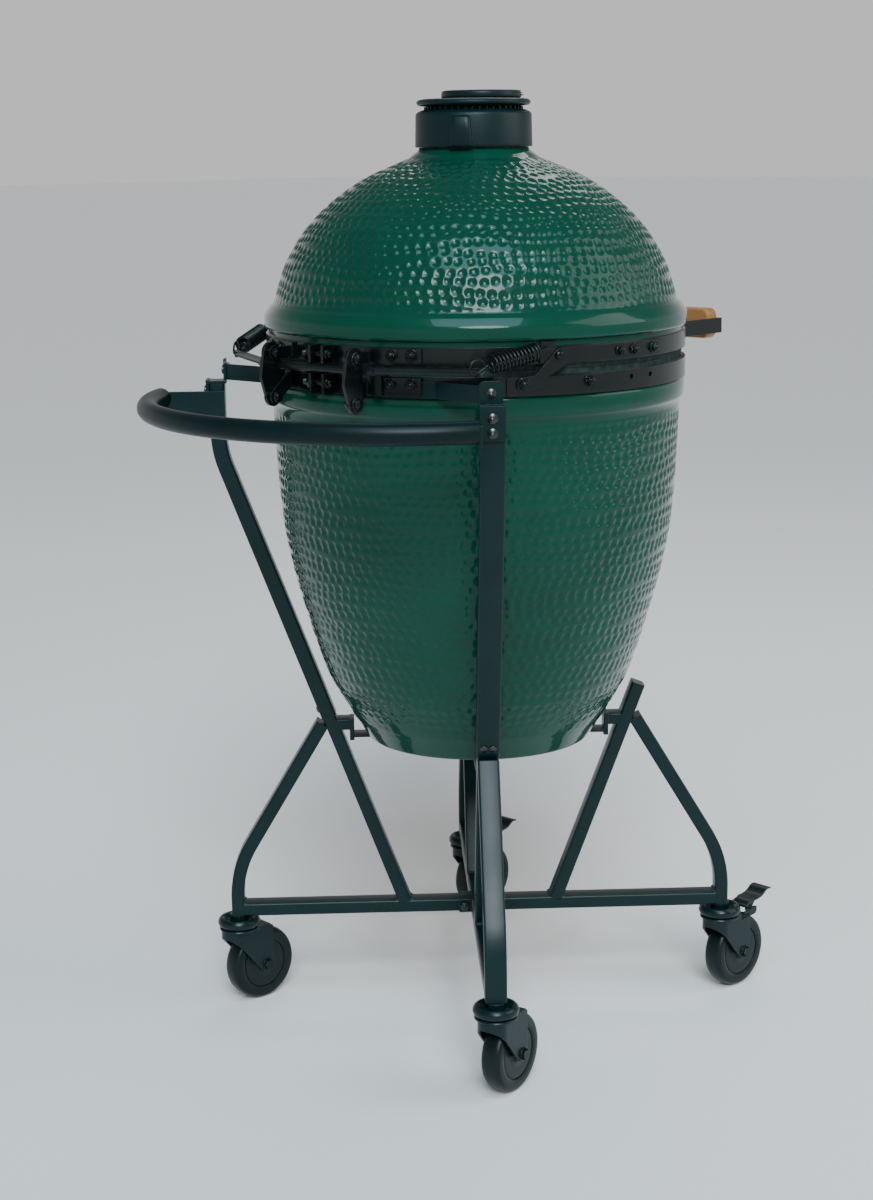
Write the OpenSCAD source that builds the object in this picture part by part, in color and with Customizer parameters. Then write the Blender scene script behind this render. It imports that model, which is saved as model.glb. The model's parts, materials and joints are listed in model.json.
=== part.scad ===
// Kamado ceramic grill in a wheeled steel nest with a rear push handle.
// Millimetres, +Z up, the lid opens towards +Y, the draft door faces -Y.
// All parts are drawn about the egg axis, then shifted by egg_y so that the
// bounding box of the whole object is centred on the origin.

/* [Egg] */
// Outer radius of the widest dome flange
rim_r = 270; // [266:1:272]
// Radius of the cooking grid
grid_r = 228; // [215:1:229]

/* [Nest] */
// Distance from the egg axis to the outer face of each leg
leg_r = 336; // [326:2:350]
// Width of the frame tube across the frame plane
tube_w = 27; // [24:1:30]
// Depth of the frame tube in the frame plane
tube_t = 17.4; // [15:0.2:18]
// Height of the underside of the frame over the floor
frame_z = 126; // [124:1:130]

/* [Push handle] */
// Radius of the bow, to the tube centre
bow_r = 320; // [316:1:324]
// Outside radius of the handle tube
bow_tube_r = 13; // [11:0.5:15]

/* [Casters] */
// Wheel radius
wheel_r = 50; // [46:1:50]
// Distance of the axle behind the swivel axis
trail = 32; // [26:1:34]
// Rest yaw of the caster on the arm at 45 degrees
yaw_a = -5; // [-20:1:20]
// Rest yaw of the caster on the arm at 135 degrees
yaw_b = 10; // [-20:1:20]
// Rest yaw of the caster on the arm at 225 degrees
yaw_c = -3; // [-20:1:20]
// Rest yaw of the caster on the arm at 315 degrees
yaw_d = 0; // [-20:1:20]

/* [Hidden] */
$fn = 96;
egg_y = -58.5;
gap = 0.2;
run = 0.3;
arms = [45, 135, 225, 315];
yaws = [yaw_a, yaw_b, yaw_c, yaw_d];

// --- egg outline, radius then height ---
base_top = 875.5;
dome_bottom = 888;
seam_r = 264.4;
base_outer = [[148, 378], [158, 394], [168, 409], [178, 426], [186, 440],
  [195.5, 457], [202, 473], [208, 490], [213, 506], [218.4, 522],
  [222.5, 538], [227.6, 554.5], [232.2, 571], [236.4, 587], [240.4, 603],
  [243.8, 619], [247, 635], [249.8, 650], [252, 666], [253.8, 682],
  [255.6, 704], [257.4, 730], [259, 760], [260.4, 790], [261.2, 816],
  [262.4, 822]];
flange_r = 267;
dome_outer = [[262, 944], [257.4, 948], [255, 955], [253, 962], [250.8, 969.5],
  [248.5, 977], [245.8, 985], [243, 992], [239.6, 999], [235.6, 1006.5],
  [231, 1014], [226.6, 1021.5], [221.6, 1029], [216, 1036.5], [209.4, 1044],
  [202.8, 1051.5], [195.4, 1059], [187, 1066.5], [178, 1074], [168, 1081.5],
  [157, 1089], [144.5, 1097], [130, 1104.5], [115, 1111], [98, 1118],
  [84, 1124], [74, 1131]];
dome_inner = [[232, 948], [227, 969], [218, 992], [205, 1014], [190, 1032],
  [172, 1050], [150, 1067], [125, 1081], [98, 1093], [74, 1102], [54, 1110]];
base_inner = [[0, 402], [118, 402], [140, 424], [158, 452], [176, 492],
  [190, 530], [206, 580], [220, 632], [228, 680], [234, 740], [236, 800],
  [238, 840], [239, 875.5]];
neck_r = 66;
flue_r = 52;
neck_top = 1165;
band_in = 264.7;
band_out = 268;

// --- nest ---
brace_tilt = 20.5;
leg_tilt = 30.9;
leg_bend_r = 141;
leg_c = leg_r - tube_t / 2;
junction = [197.5, 397];
bar_top = frame_z + tube_t;
upright_w = tube_w + 2.6;
upright_t = tube_t + 2.4;
upright_wall = 1.1;
upright_s = 332.5;
upright_top = 845;
upright_foot = 401;
saddle_z = 376.2;

// --- push handle and its brackets ---
bow_y = 131;
bow_z = 828.4;
bow_half = 58.4;
wing_in = upright_w / 2 + gap;
wing_t = 4;
wing_end = 412;
plate_t = 4;
plate_r = upright_s + upright_t / 2 + gap;

// --- hinge ---
pivot_y = 291;
pivot_z = 897;
link_foot_z = 844;
ear_x = 64;
ear_t = 4;
pin_r = 4;

// --- casters ---
caster_r = leg_c;
race_z = 109;
axle_r = 5;

// ---------- helpers ----------
module place() translate([0, egg_y, 0]) children();

// Stands a flat drawing (x = radius, y = height) up in the plane of one arm.
module in_arm(a, w, shift = 0)
  rotate([0, 0, a]) translate([0, w / 2 + shift, 0]) rotate([90, 0, 0])
    linear_extrude(w) children();

function unit(v) = v / norm(v);
function turn(v) = [-v[1], v[0]];
function side(p, i, h) =
  let (n = len(p),
       d0 = unit(p[i] - p[max(i - 1, 0) == i ? i + 1 : i - 1]) * (i == 0 ? -1 : 1),
       d1 = i == n - 1 ? d0 : unit(p[i + 1] - p[i]),
       m = unit(turn(d0) + turn(d1)))
  p[i] + m * h / (m * turn(d1));
function ribbon(p, w) = concat(
  [for (i = [0 : len(p) - 1]) side(p, i, w / 2)],
  [for (i = [len(p) - 1 : -1 : 0]) side(p, i, -w / 2)]);
function arc(c, r, a0, a1, n) =
  [for (i = [0 : n]) let (a = a0 + (a1 - a0) * i / n) c + r * [cos(a), sin(a)]];

// A part ring from angle a0 to a1, angles measured from +Y towards +X.
module ring_part(r0, r1, z0, z1, a0, a1)
  rotate([0, 0, 90 - a1]) rotate_extrude(angle = a1 - a0, $fn = 180)
    translate([r0, z0]) square([r1 - r0, z1 - z0]);

// A cylinder on a radius at the angle a from +Y towards +X.
module radial(a, z, r0, r1, r)
  rotate([0, 0, -a]) translate([0, r0, z]) rotate([-90, 0, 0])
    cylinder(h = r1 - r0, r = r, $fn = 32);

module radial_hex(a, z, r0, r1, r)
  rotate([0, 0, -a]) translate([0, r0, z]) rotate([-90, 0, 0])
    cylinder(h = r1 - r0, r = r, $fn = 6);

module along_x(y, z, x0, x1, r, n = 40)
  translate([x0, y, z]) rotate([0, 90, 0]) cylinder(h = x1 - x0, r = r, $fn = n);

module both() {
  children();
  mirror([1, 0, 0]) children();
}

// ---------- nest frames ----------
leg_bend = arc([leg_c - leg_bend_r, 152.7], leg_bend_r, 0, leg_tilt, 8);
leg_dir = [-sin(leg_tilt), cos(leg_tilt)];
leg_top = junction[1] - 6;
leg_end = leg_bend[8] + leg_dir * ((leg_top - leg_bend[8][1]) / leg_dir[1]);
brace_dir = [sin(brace_tilt), cos(brace_tilt)];
stub_len = 43;
brace_foot = junction - brace_dir * ((junction[1] - bar_top + 4) / brace_dir[1]);

module leg_outline()
  polygon(ribbon(concat([[leg_c, frame_z]], leg_bend, [leg_end]), tube_t));

module brace_outline()
  polygon(ribbon([brace_foot, junction + brace_dir * stub_len], tube_t));

module half_frame_outline(s0) {
  leg_outline();
  brace_outline();
  translate([166, 382]) square([junction[0] - 162, tube_t - 1]);
  translate([166, saddle_z - 7.6]) square([6, 30]);
  translate([s0, frame_z]) square([leg_c - s0, tube_t]);
  polygon([[leg_r - 34, bar_top - 1], [leg_r - 8, bar_top - 1], [leg_r - 8, bar_top + 24]]);
}

module stem_bores(a)
  rotate([0, 0, a]) translate([caster_r, 0, frame_z - 1])
    cylinder(h = 36, r = 7.2, $fn = 48);

module nest_frame_a() color([0.19, 0.25, 0.25]) difference() {
  union() {
    for (a = [45, 225]) in_arm(a, tube_w) half_frame_outline(-1);
    rotate([0, 0, 45]) translate([-172, -tube_w / 2, saddle_z - 3.6])
      cube([344, tube_w, 3.6]);
  }
  for (a = [45, 225]) stem_bores(a);
  for (a = [45, 225]) upright_screw_holes(a);
  cross_holes();
}

module nest_frame_b() color([0.19, 0.25, 0.25]) difference() {
  union() {
    for (a = [135, 315]) {
      in_arm(a, tube_w) half_frame_outline(tube_w / 2 + gap);
      rotate([0, 0, a]) translate([tube_w / 2 + gap, -tube_w / 2 - 16, frame_z])
        cube([4, tube_w + 32, tube_t]);
    }
    rotate([0, 0, 135]) translate([-172, -tube_w / 2, saddle_z - 7.6])
      cube([344, tube_w, 3.6]);
  }
  for (a = [135, 315]) stem_bores(a);
  for (a = [135, 315]) upright_screw_holes(a);
  cross_holes();
}

// The two bolts through the halved crossing, one each side of the bar.
cross_bolt_s = tube_w / 2 + 9;
module cross_line(h0, h1, r, n)
  for (s = [-cross_bolt_s, cross_bolt_s])
    rotate([0, 0, 45]) translate([s, 0, frame_z + tube_t / 2]) rotate([-90, 0, 0])
      translate([0, 0, h0]) cylinder(h = h1 - h0, r = r, $fn = n);
module cross_holes() cross_line(-40, 40, 3.3, 32);
module cross_bolts() color([0.5, 0.5, 0.5]) {
  cross_line(-(tube_w / 2 + 4 + gap), tube_w / 2 + 4 + 8, 3, 32);
  cross_line(tube_w / 2 + 4 + gap + 0.1, tube_w / 2 + 4 + 5.2, 6, 6);
  cross_line(-(tube_w / 2 + 4 + 4.5), -(tube_w / 2 + 4 + gap + 0.1), 6, 6);
}

// ---------- uprights ----------
upright_base = junction + brace_dir * ((upright_foot - junction[1]) / brace_dir[1]);
upright_knee_z = junction[1] + (upright_s - junction[0]) / tan(brace_tilt);
knee_r = 130;
knee_len = knee_r * tan(brace_tilt / 2);
knee = [for (i = [0 : 8]) let (a = brace_tilt * (1 - i / 8))
  [upright_s - knee_r * (1 - cos(a)), upright_knee_z + knee_len - knee_r * sin(a)]];

module upright(a) color([0.19, 0.25, 0.25]) difference() {
  in_arm(a, upright_w)
    polygon(ribbon(concat([upright_base], knee, [[upright_s, upright_top]]), upright_t));
  in_arm(a, upright_w - 2 * upright_wall)
    polygon(ribbon(concat([upright_base - brace_dir * 5], knee,
      [[upright_s, upright_top - 2]]), upright_t - 2 * upright_wall));
  upright_screw_holes(a);
  bracket_screw_holes(a);
}

// Two screws side by side low on the outer face of each upright.
foot_screw_z = 413.5;
foot_screw_s = junction[0] + (foot_screw_z - junction[1]) * tan(brace_tilt);
module at_foot_screws(a)
  for (y = [-5.6, 5.6]) rotate([0, 0, a]) translate([foot_screw_s, y, foot_screw_z])
    rotate([0, 90 + brace_tilt, 0]) children();
module upright_screw_holes(a) at_foot_screws(a)
  translate([0, 0, -3]) cylinder(h = 20, r = 2.7, $fn = 32);

// Two screws one above the other through the outer plate of each bracket.
bracket_screw_z = [819, 836];
module at_bracket_screws(a)
  for (z = bracket_screw_z) rotate([0, 0, a]) translate([plate_r + plate_t, 0, z])
    rotate([0, 90, 0]) children();
module bracket_screw_holes(a) at_bracket_screws(a)
  translate([0, 0, -12]) cylinder(h = 14, r = 3.3, $fn = 32);

tab_screw_z = 862;
tab_r = 320.2;
module at_tab_screw(a) rotate([0, 0, a]) translate([tab_r + 3.4, 0, tab_screw_z])
  rotate([0, 90, 0]) children();

module screw(shank, r, head_r, head_h) {
  translate([0, 0, -shank]) cylinder(h = shank + 0.6, r = r, $fn = 32);
  translate([0, 0, 0.2]) intersection() {
    cylinder(h = head_h, r = head_r, $fn = 40);
    translate([0, 0, head_h - 2 * head_r]) sphere(r = 2 * head_r, $fn = 48);
  }
}

module nest_screws() color([0.62, 0.62, 0.6]) for (a = [45, 135]) {
  at_foot_screws(a) translate([0, 0, upright_t / 2]) screw(5, 2.4, 4.4, 2.6);
  at_bracket_screws(a) screw(8, 3, 6, 3.4);
  at_tab_screw(a) screw(9, 3, 5.6, 3.2);
}

// ---------- handle brackets ----------
// s is +1 where the wing stands on the left of the arm, -1 on the right.
module handle_bracket(a, s) color([0.17, 0.22, 0.22]) difference() {
  union() {
    rotate([0, 0, a]) translate([plate_r, -15, 810]) cube([plate_t, 30, 40]);
    rotate([0, 0, a]) translate([tab_r, -14.6, 845.4]) cube([plate_r + plate_t - tab_r, 29.2, 3.4]);
    in_tab(a);
    rotate([0, 0, a]) translate([upright_s - upright_t / 2,
      s > 0 ? wing_in : -wing_in - wing_t, 803]) cube([wing_end - upright_s + upright_t / 2,
      wing_t, 33]);
    rotate([0, 0, a]) translate([plate_r, s > 0 ? 13 : -13 - 5, 810])
      cube([plate_t, 5, 26]);
  }
  bracket_screw_holes(a);
  at_tab_screw(a) translate([0, 0, -12]) cylinder(h = 16, r = 3.3, $fn = 32);
}
module in_tab(a)
  rotate([0, 0, a]) translate([tab_r, 0, 0]) rotate([90, 0, 90])
    linear_extrude(3.4) {
      translate([-14, 845.4]) square([28, 24.6]);
      translate([-8, 868]) square([16, 8]);
      for (y = [-8, 8]) translate([y, 870]) circle(r = 6, $fn = 40);
    }

module push_handle() color([0.22, 0.27, 0.27]) difference() {
  translate([0, bow_y, bow_z]) rotate([0, 0, 90 - bow_half - 3])
    rotate_extrude(angle = 2 * bow_half + 6, $fn = 180) translate([bow_r, 0])
      difference() {
        circle(r = bow_tube_r, $fn = 48);
        circle(r = bow_tube_r - 1.8, $fn = 48);
      }
  for (s = [-1, 1]) rotate([0, 0, 90 - 45 * s])
    translate([300, s > 0 ? wing_in + wing_t + gap - 60 : -(wing_in + wing_t + gap), 780])
      cube([200, 60, 100]);
}

// ---------- nest straps ----------
strap_in = 268.4;
strap_t = 3.6;
strap_c = strap_in + strap_t / 2;
strap_path = concat([[tab_r - gap - strap_t / 2, -11], [tab_r - gap - strap_t / 2, 12]],
  [for (i = [0 : 6]) let (a = 13 + 14 * i / 6) strap_c * [cos(a), sin(a)]]);
module strap() color([0.2, 0.26, 0.26]) difference() {
  rotate([0, 0, 45]) translate([0, 0, 850]) linear_extrude(20)
    polygon(ribbon(strap_path, strap_t));
  at_tab_screw(45) translate([0, 0, -12]) cylinder(h = 16, r = 3.3, $fn = 32);
  for (a = hinge_bolt_a) radial(a, lower_bolt_z, 260, 280, 3.4);
}

// ---------- casters ----------
module at_caster(i)
  rotate([0, 0, arms[i]]) translate([caster_r, 0, 0])
    rotate([0, 0, -arms[i] + yaws[i]]) children();

module caster_stems() color([0.3, 0.32, 0.33]) for (i = [0 : 3]) at_caster(i) {
  translate([0, 0, race_z + 8]) cylinder(h = 44, r = 7, $fn = 48);
  translate([0, 0, race_z + 13]) cylinder(h = frame_z - race_z - 13 - gap, r = 11, $fn = 48);
  translate([0, 0, race_z]) difference() {
    rotate_extrude($fn = 96) {
      translate([22, 6.5]) circle(r = 6.5, $fn = 40);
      square([22, 13]);
    }
    translate([0, 0, -1]) cylinder(h = 5.5, r = 15, $fn = 60);
  }
}

fork_in = 16.6;
fork_t = 3;
module fork_side()
  rotate([90, 0, 90]) linear_extrude(fork_t) difference() {
    union() {
      translate([-trail, wheel_r]) circle(r = 10, $fn = 48);
      polygon([[-trail - 10, wheel_r], [-trail + 10, wheel_r - 2], [24, race_z - 14],
        [24, race_z - 5], [-trail - 8, race_z - 5]]);
    }
    translate([-trail, wheel_r]) circle(r = axle_r + 0.2, $fn = 40);
  }

module fork(i, braked) color([0.33, 0.35, 0.36]) at_caster(i) {
  translate([fork_in, 0, 0]) fork_side();
  translate([-fork_in - fork_t, 0, 0]) fork_side();
  difference() {
    union() {
      translate([0, 0, race_z - 5]) cylinder(h = 4.4, r = 26, $fn = 80);
      translate([-fork_in - fork_t, -trail - 8, race_z - 5]) cube([2 * (fork_in + fork_t), trail + 8, 3]);
      translate([0, 0, race_z - 1]) cylinder(h = 4.8, r = 14, $fn = 60);
    }
    if (braked) translate([-15, -trail - 9, race_z - 6]) cube([30, 12, 5]);
  }
  if (braked) for (x = [-fork_in - fork_t, fork_in])
    translate([x, -trail - 20, race_z - 11]) cube([fork_t, 14, 12]);
}

module axle(i) color([0.6, 0.6, 0.6]) at_caster(i) translate([0, -trail, wheel_r]) {
  rotate([0, 90, 0]) translate([0, 0, -25.5]) cylinder(h = 51, r = axle_r, $fn = 40);
  for (x = [-24.6, 19.8]) translate([x, 0, 0]) rotate([0, 90, 0])
    cylinder(h = 4.8, r = 8, $fn = 6);
}

module hub(i) color([0.12, 0.12, 0.12]) at_caster(i) translate([0, -trail, wheel_r])
  rotate([0, 90, 0]) rotate_extrude($fn = 96) polygon([[axle_r + run, -15], [12, -15],
    [12, -9], [33, -7], [33, -11], [38, -11], [38, 11], [33, 11], [33, 7], [12, 9],
    [12, 15], [axle_r + run, 15]]);

module tyre(i) color([0.15, 0.15, 0.15]) at_caster(i) translate([0, -trail, wheel_r])
  rotate([0, 90, 0]) rotate_extrude($fn = 96) polygon([[38, -13.4], [45, -13.4],
    [47.6, -12], [49.3, -9], [wheel_r, -5], [wheel_r, 5], [49.3, 9], [47.6, 12],
    [45, 13.4], [38, 13.4]]);

// Pedal over the wheel; it turns on a cross pin between the fork cheeks.
pedal_y = -trail - 13;
pedal_z = race_z - 1;
module brake_pedal(i) color([0.1, 0.1, 0.1]) at_caster(i) {
  difference() {
    translate([-14, 0, 0]) rotate([90, 0, 90]) linear_extrude(28)
      polygon([[pedal_y - 4, pedal_z - 3], [pedal_y + 4, pedal_z - 3],
        [pedal_y + 5, pedal_z + 6], [-62, 124], [-88, 121], [-96, 113], [-94, 110],
        [-86, 116], [-64, 119], [pedal_y - 5, pedal_z + 2]]);
    along_x(pedal_y, pedal_z + 1, -20, 20, 2.2);
  }
  along_x(pedal_y, pedal_z + 1, -fork_in + run, fork_in - run, 2.1);
}

// ---------- ceramic base ----------
draft_x = 24;
draft_z0 = 420;
draft_z1 = 466;
cut_y = -222;
pad_half = 28;
// Round the draft opening the wall is close to this cone.
cone_slope = 0.53;
function wall_r(z) = 168 + cone_slope * (z - 409);
// A bent plate on the -Y side that follows the wall, out0 to out1 off the cone.
module cone_plate(z0, z1, out0, out1, half, mid = 0)
  rotate([0, 0, -90 - half + mid]) rotate_extrude(angle = 2 * half, $fn = 180)
    polygon([[wall_r(z0) + out0, z0], [wall_r(z0) + out1, z0],
      [wall_r(z1) + out1, z1], [wall_r(z1) + out0, z1]]);
module draft_cut(depth)
  translate([-draft_x, cut_y, draft_z0]) cube([2 * draft_x, depth, draft_z1 - draft_z0]);
module base_body() rotate_extrude($fn = 180) polygon(concat(
  [[0, 376.4], [146, 376.4]], base_outer,
  [[flange_r, 826], [flange_r, 849.5], [seam_r, 850.5], [seam_r, base_top]],
  [for (i = [len(base_inner) - 1 : -1 : 0]) base_inner[i]]));
module ceramic_base() color([0.02, 0.22, 0.14]) difference() {
  union() {
    base_body();
    cone_plate(404, 482, -10, 3, pad_half);
  }
  draft_cut(130);
  for (y = [-shelf_hole_y, shelf_hole_y]) both() along_x(y, shelf_hole_z, 250, 270, 4.5);
}

// ---------- inside the base ----------
rake_x = 37;
module firebox() color([0.75, 0.7, 0.6]) difference() {
  rotate_extrude($fn = 120) polygon([[62, 402.4], [112, 402.4], [136, 428], [154, 458],
    [171, 496], [185, 534], [201, 584], [214, 634], [218, 660], [199, 660], [192, 620],
    [175, 560], [153, 500], [134, 470], [114, 458], [114, 450], [62, 450]]);
  translate([-rake_x, -170, 402]) cube([2 * rake_x, 130, 46]);
}

module fire_grate() color([0.15, 0.15, 0.15]) difference() {
  translate([0, 0, 458.4]) cylinder(h = 8, r = 108, $fn = 90);
  for (k = [0 : 5]) rotate([0, 0, 60 * k]) translate([24, 0, 450]) cylinder(h = 30, r = 7, $fn = 24);
  for (k = [0 : 11]) rotate([0, 0, 30 * k]) translate([54, 0, 450]) cylinder(h = 30, r = 7, $fn = 24);
  for (k = [0 : 17]) rotate([0, 0, 20 * k]) translate([86, 0, 450]) cylinder(h = 30, r = 7, $fn = 24);
}

module fire_ring() color([0.75, 0.7, 0.6]) rotate_extrude($fn = 120)
  polygon([[201, 660.4], [218, 660.4], [230, 740], [231, 800], [213, 800], [211, 740]]);

// A rim hoop, cross bars spaced along Y, and two bearers under them.
grid_z = 800.4;
grid_bar = 3.6;
function chord(y) = sqrt((grid_r - 3) * (grid_r - 3) - y * y);
module cooking_grid() color([0.35, 0.36, 0.36]) {
  translate([0, 0, grid_z]) rotate_extrude($fn = 120) translate([grid_r - 6, 0]) square([6, 7.6]);
  for (k = [-13 : 13]) let (y = 16 * k)
    translate([-chord(y), y - grid_bar / 2, grid_z + 3]) cube([2 * chord(y), grid_bar, 4]);
  for (x = [-110, 110])
    translate([x - 3, -chord(x), grid_z + 0.4]) cube([6, 2 * chord(x), 3.6]);
}

// ---------- draft door ----------
// Door and screen are bent to the wall and run round the egg in two rails.
rail_half = 25.4;
rail_out = 14.4;
groove_half = 24.8;
slider_half = 8.2;
slider_z0 = 407;
slider_z1 = 477;
screen_out = [7, 8.2];
door_out = [11, 12.4];
knob_z = 441;
play = 0.4;
module grooves(z0, z1) for (r = [screen_out, door_out])
  cone_plate(z0, z1, r[0] - play, r[1] + play, groove_half);
module draft_frame() color([0.6, 0.6, 0.58]) {
  difference() {
    cone_plate(402.4, 481.6, 3.4, 5.4, rail_half - 0.2);
    draft_cut(90);
  }
  difference() {
    cone_plate(402, 412, 4.4, rail_out, rail_half);
    grooves(slider_z0 - 0.3, 413);
  }
  difference() {
    cone_plate(472, 482, 4.4, rail_out, rail_half);
    grooves(471, slider_z1 + 0.3);
  }
  for (s = [-1, 1]) cone_plate(403, 481, 4.8, rail_out - 0.4, 0.2, 25.1 * s);
}
module draft_door() color([0.62, 0.62, 0.6]) {
  cone_plate(slider_z0, slider_z1, door_out[0], door_out[1], slider_half);
  translate([0, -wall_r(knob_z) - 11.7, knob_z]) rotate([90 + atan(cone_slope), 0, 0]) {
    cylinder(h = 9, r = 5, $fn = 40);
    translate([0, 0, 8]) cylinder(h = 5, r = 8, $fn = 40);
  }
}
module draft_screen() color([0.5, 0.5, 0.48]) difference() {
  cone_plate(slider_z0, slider_z1, screen_out[0], screen_out[1], slider_half);
  for (x = [-18 : 9 : 18]) for (z = [425 : 9 : 461])
    translate([x - 3, cut_y, z - 3]) cube([6, 90, 6]);
}

// ---------- bands, gaskets and their bolts ----------
hinge_bolt_a = [20.7, 25.9];
lower_bolt_z = 866;
upper_bolt_z = 900;
side_bolt_a = [81, 86, 93.7];
side_bolt_z = 899;
arm_bolt_a = [53.6, 71.5];
arm_bolt_z = 866;
link_pin = [62.6, 898.6];
shelf_hole_y = 18.5;
shelf_hole_z = 866;
clamp_y = 277;
ear_y = 265.2;

module band(z0, z1) {
  difference() {
    rotate_extrude($fn = 180) translate([band_in, z0]) square([band_out - band_in, z1 - z0]);
    translate([-9, 200, z0 - 1]) cube([18, 100, z1 - z0 + 2]);
  }
  both() translate([9, ear_y, z0]) cube([3.6, 285.4 - ear_y, z1 - z0]);
}

module lower_band() color([0.06, 0.07, 0.07]) difference() {
  band(851, 875);
  both() for (a = hinge_bolt_a) radial(a, lower_bolt_z, 255, 275, 3.4);
  both() for (a = arm_bolt_a) radial(a, arm_bolt_z, 255, 275, 3.4);
  for (y = [-shelf_hole_y, shelf_hole_y]) along_x(y, shelf_hole_z, -280, 280, 3.2);
  along_x(clamp_y, 864, -20, 20, 4.3);
}
module upper_band() color([0.06, 0.07, 0.07]) difference() {
  band(dome_bottom, 909);
  both() for (a = hinge_bolt_a) radial(a, upper_bolt_z, 255, 275, 3.4);
  both() for (a = side_bolt_a) radial(a, side_bolt_z, 255, 275, 3.4);
  both() radial(strap_bolt_a, 897, 255, 275, 3.4);
  along_x(clamp_y, 898, -20, 20, 4.3);
}
module clamp_bolt(z) {
  along_x(clamp_y, z, -23, 28, 4);
  along_x(clamp_y, z, -20, -12.8, 7.6, 6);
  along_x(clamp_y, z, 12.8, 20, 7.6, 6);
}
module lower_band_bolts() color([0.5, 0.5, 0.5]) {
  both() for (a = hinge_bolt_a) {
    radial(a, lower_bolt_z, 265, 277, 3.2);
    radial_hex(a, lower_bolt_z, 276.3, 281, 5.6);
  }
  both() {
    for (a = arm_bolt_a) radial(a, arm_bolt_z, 265, a < link_mid ? 278 : 274, 3.2);
    radial_hex(arm_bolt_a[0], arm_bolt_z, link_out + gap, 281.4, 6);
    radial_hex(arm_bolt_a[1], arm_bolt_z, 272.4, 277.4, 6);
    radial(link_pin[0], link_pin[1], link_in + gap, 278, 3.2);
    radial(link_pin[0], link_pin[1], link_out + gap, 280, 5.4);
  }
  clamp_bolt(864);
}
module upper_band_bolts() color([0.5, 0.5, 0.5]) {
  both() for (a = hinge_bolt_a) {
    radial(a, upper_bolt_z, 265, 273, 3.2);
    radial_hex(a, upper_bolt_z, 272.2, 276.8, 5.6);
  }
  both() for (a = side_bolt_a) {
    radial(a, side_bolt_z, 265, 273, 3.2);
    radial_hex(a, side_bolt_z, 272.2, 276.6, 5.4);
  }
  both() {
    radial(strap_bolt_a, 897, 265, 273, 3.2);
    radial_hex(strap_bolt_a, 897, 272.2, 276.6, 5.4);
    translate([70, -344.2, 897]) rotate([-90, 0, 0]) cylinder(h = 16, r = 3, $fn = 32);
    translate([70, -347, 897]) rotate([-90, 0, 0]) cylinder(h = 3, r = 6, $fn = 40);
  }
  clamp_bolt(898);
}
module lower_gasket() color([0.35, 0.37, 0.36]) rotate_extrude($fn = 180)
  translate([241, base_top]) square([21.5, 6]);
module upper_gasket() color([0.35, 0.37, 0.36]) rotate_extrude($fn = 180)
  translate([241, 882]) square([22.4, 6]);

// ---------- hinge ----------
module ear_outline(z0, z1, r) {
  translate([pivot_y, z0]) circle(r = r, $fn = 48);
  polygon([[252, z1 - 9], [pivot_y, z0 - r], [pivot_y, z0 + r], [252, z1 + 9]]);
}
module at_ear(x) translate([x, 0, 0]) rotate([90, 0, 90]) children();

module hinge_lower() color([0.09, 0.1, 0.1]) difference() {
  both() {
    ring_part(272.3, 275.9, 853, 874, 13.6, 28.4);
    at_ear(ear_x) linear_extrude(ear_t) difference() {
      union() {
        translate([pivot_y, link_foot_z]) circle(r = 9, $fn = 48);
        polygon([[267, 853], [pivot_y, link_foot_z - 9], [pivot_y + 9, link_foot_z],
          [pivot_y, link_foot_z + 12], [267, 874]]);
      }
      circle(r = 268.4);
    }
  }
  both() for (a = hinge_bolt_a) radial(a, lower_bolt_z, 255, 280, 3.4);
  along_x(pivot_y, link_foot_z, -90, 90, pin_r + 0.2);
}

module hinge_upper() color([0.09, 0.1, 0.1]) difference() {
  both() {
    ring_part(band_out + gap, 272, 890, 908, 13.2, 28.4);
    at_ear(ear_x) linear_extrude(ear_t) union() {
      translate([pivot_y, pivot_z]) circle(r = 9, $fn = 48);
      translate([262.6, 890]) square([pivot_y - 262.6, 14]);
    }
  }
  both() for (a = hinge_bolt_a) radial(a, upper_bolt_z, 255, 280, 3.4);
  along_x(pivot_y, pivot_z, -90, 90, pin_r + run);
}

link_x = ear_x + ear_t + 0.6;
module hinge_links() color([0.07, 0.08, 0.08]) difference() {
  both() at_ear(link_x) linear_extrude(4.4) {
    translate([pivot_y + 1, pivot_z]) circle(r = 13.5, $fn = 60);
    translate([pivot_y, link_foot_z]) circle(r = 12, $fn = 60);
    polygon([[pivot_y - 12, pivot_z], [pivot_y - 11, link_foot_z + 4],
      [pivot_y + 4, link_foot_z - 11.3], [pivot_y + 12, link_foot_z + 2],
      [pivot_y + 19, link_foot_z + 24], [pivot_y + 14.3, pivot_z]]);
  }
  along_x(pivot_y, pivot_z, -90, 90, pin_r + 0.2);
  along_x(pivot_y, link_foot_z, -90, 90, pin_r + 0.2);
}
module hinge_pins() color([0.6, 0.6, 0.6]) both() for (z = [pivot_z, link_foot_z]) {
  along_x(pivot_y, z, ear_x - 6, link_x + 9, pin_r);
  along_x(pivot_y, z, ear_x - 5, ear_x - 0.6, 7.4, 6);
  along_x(pivot_y, z, link_x + 4.6, link_x + 8.6, 7.6, 6);
}

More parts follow.
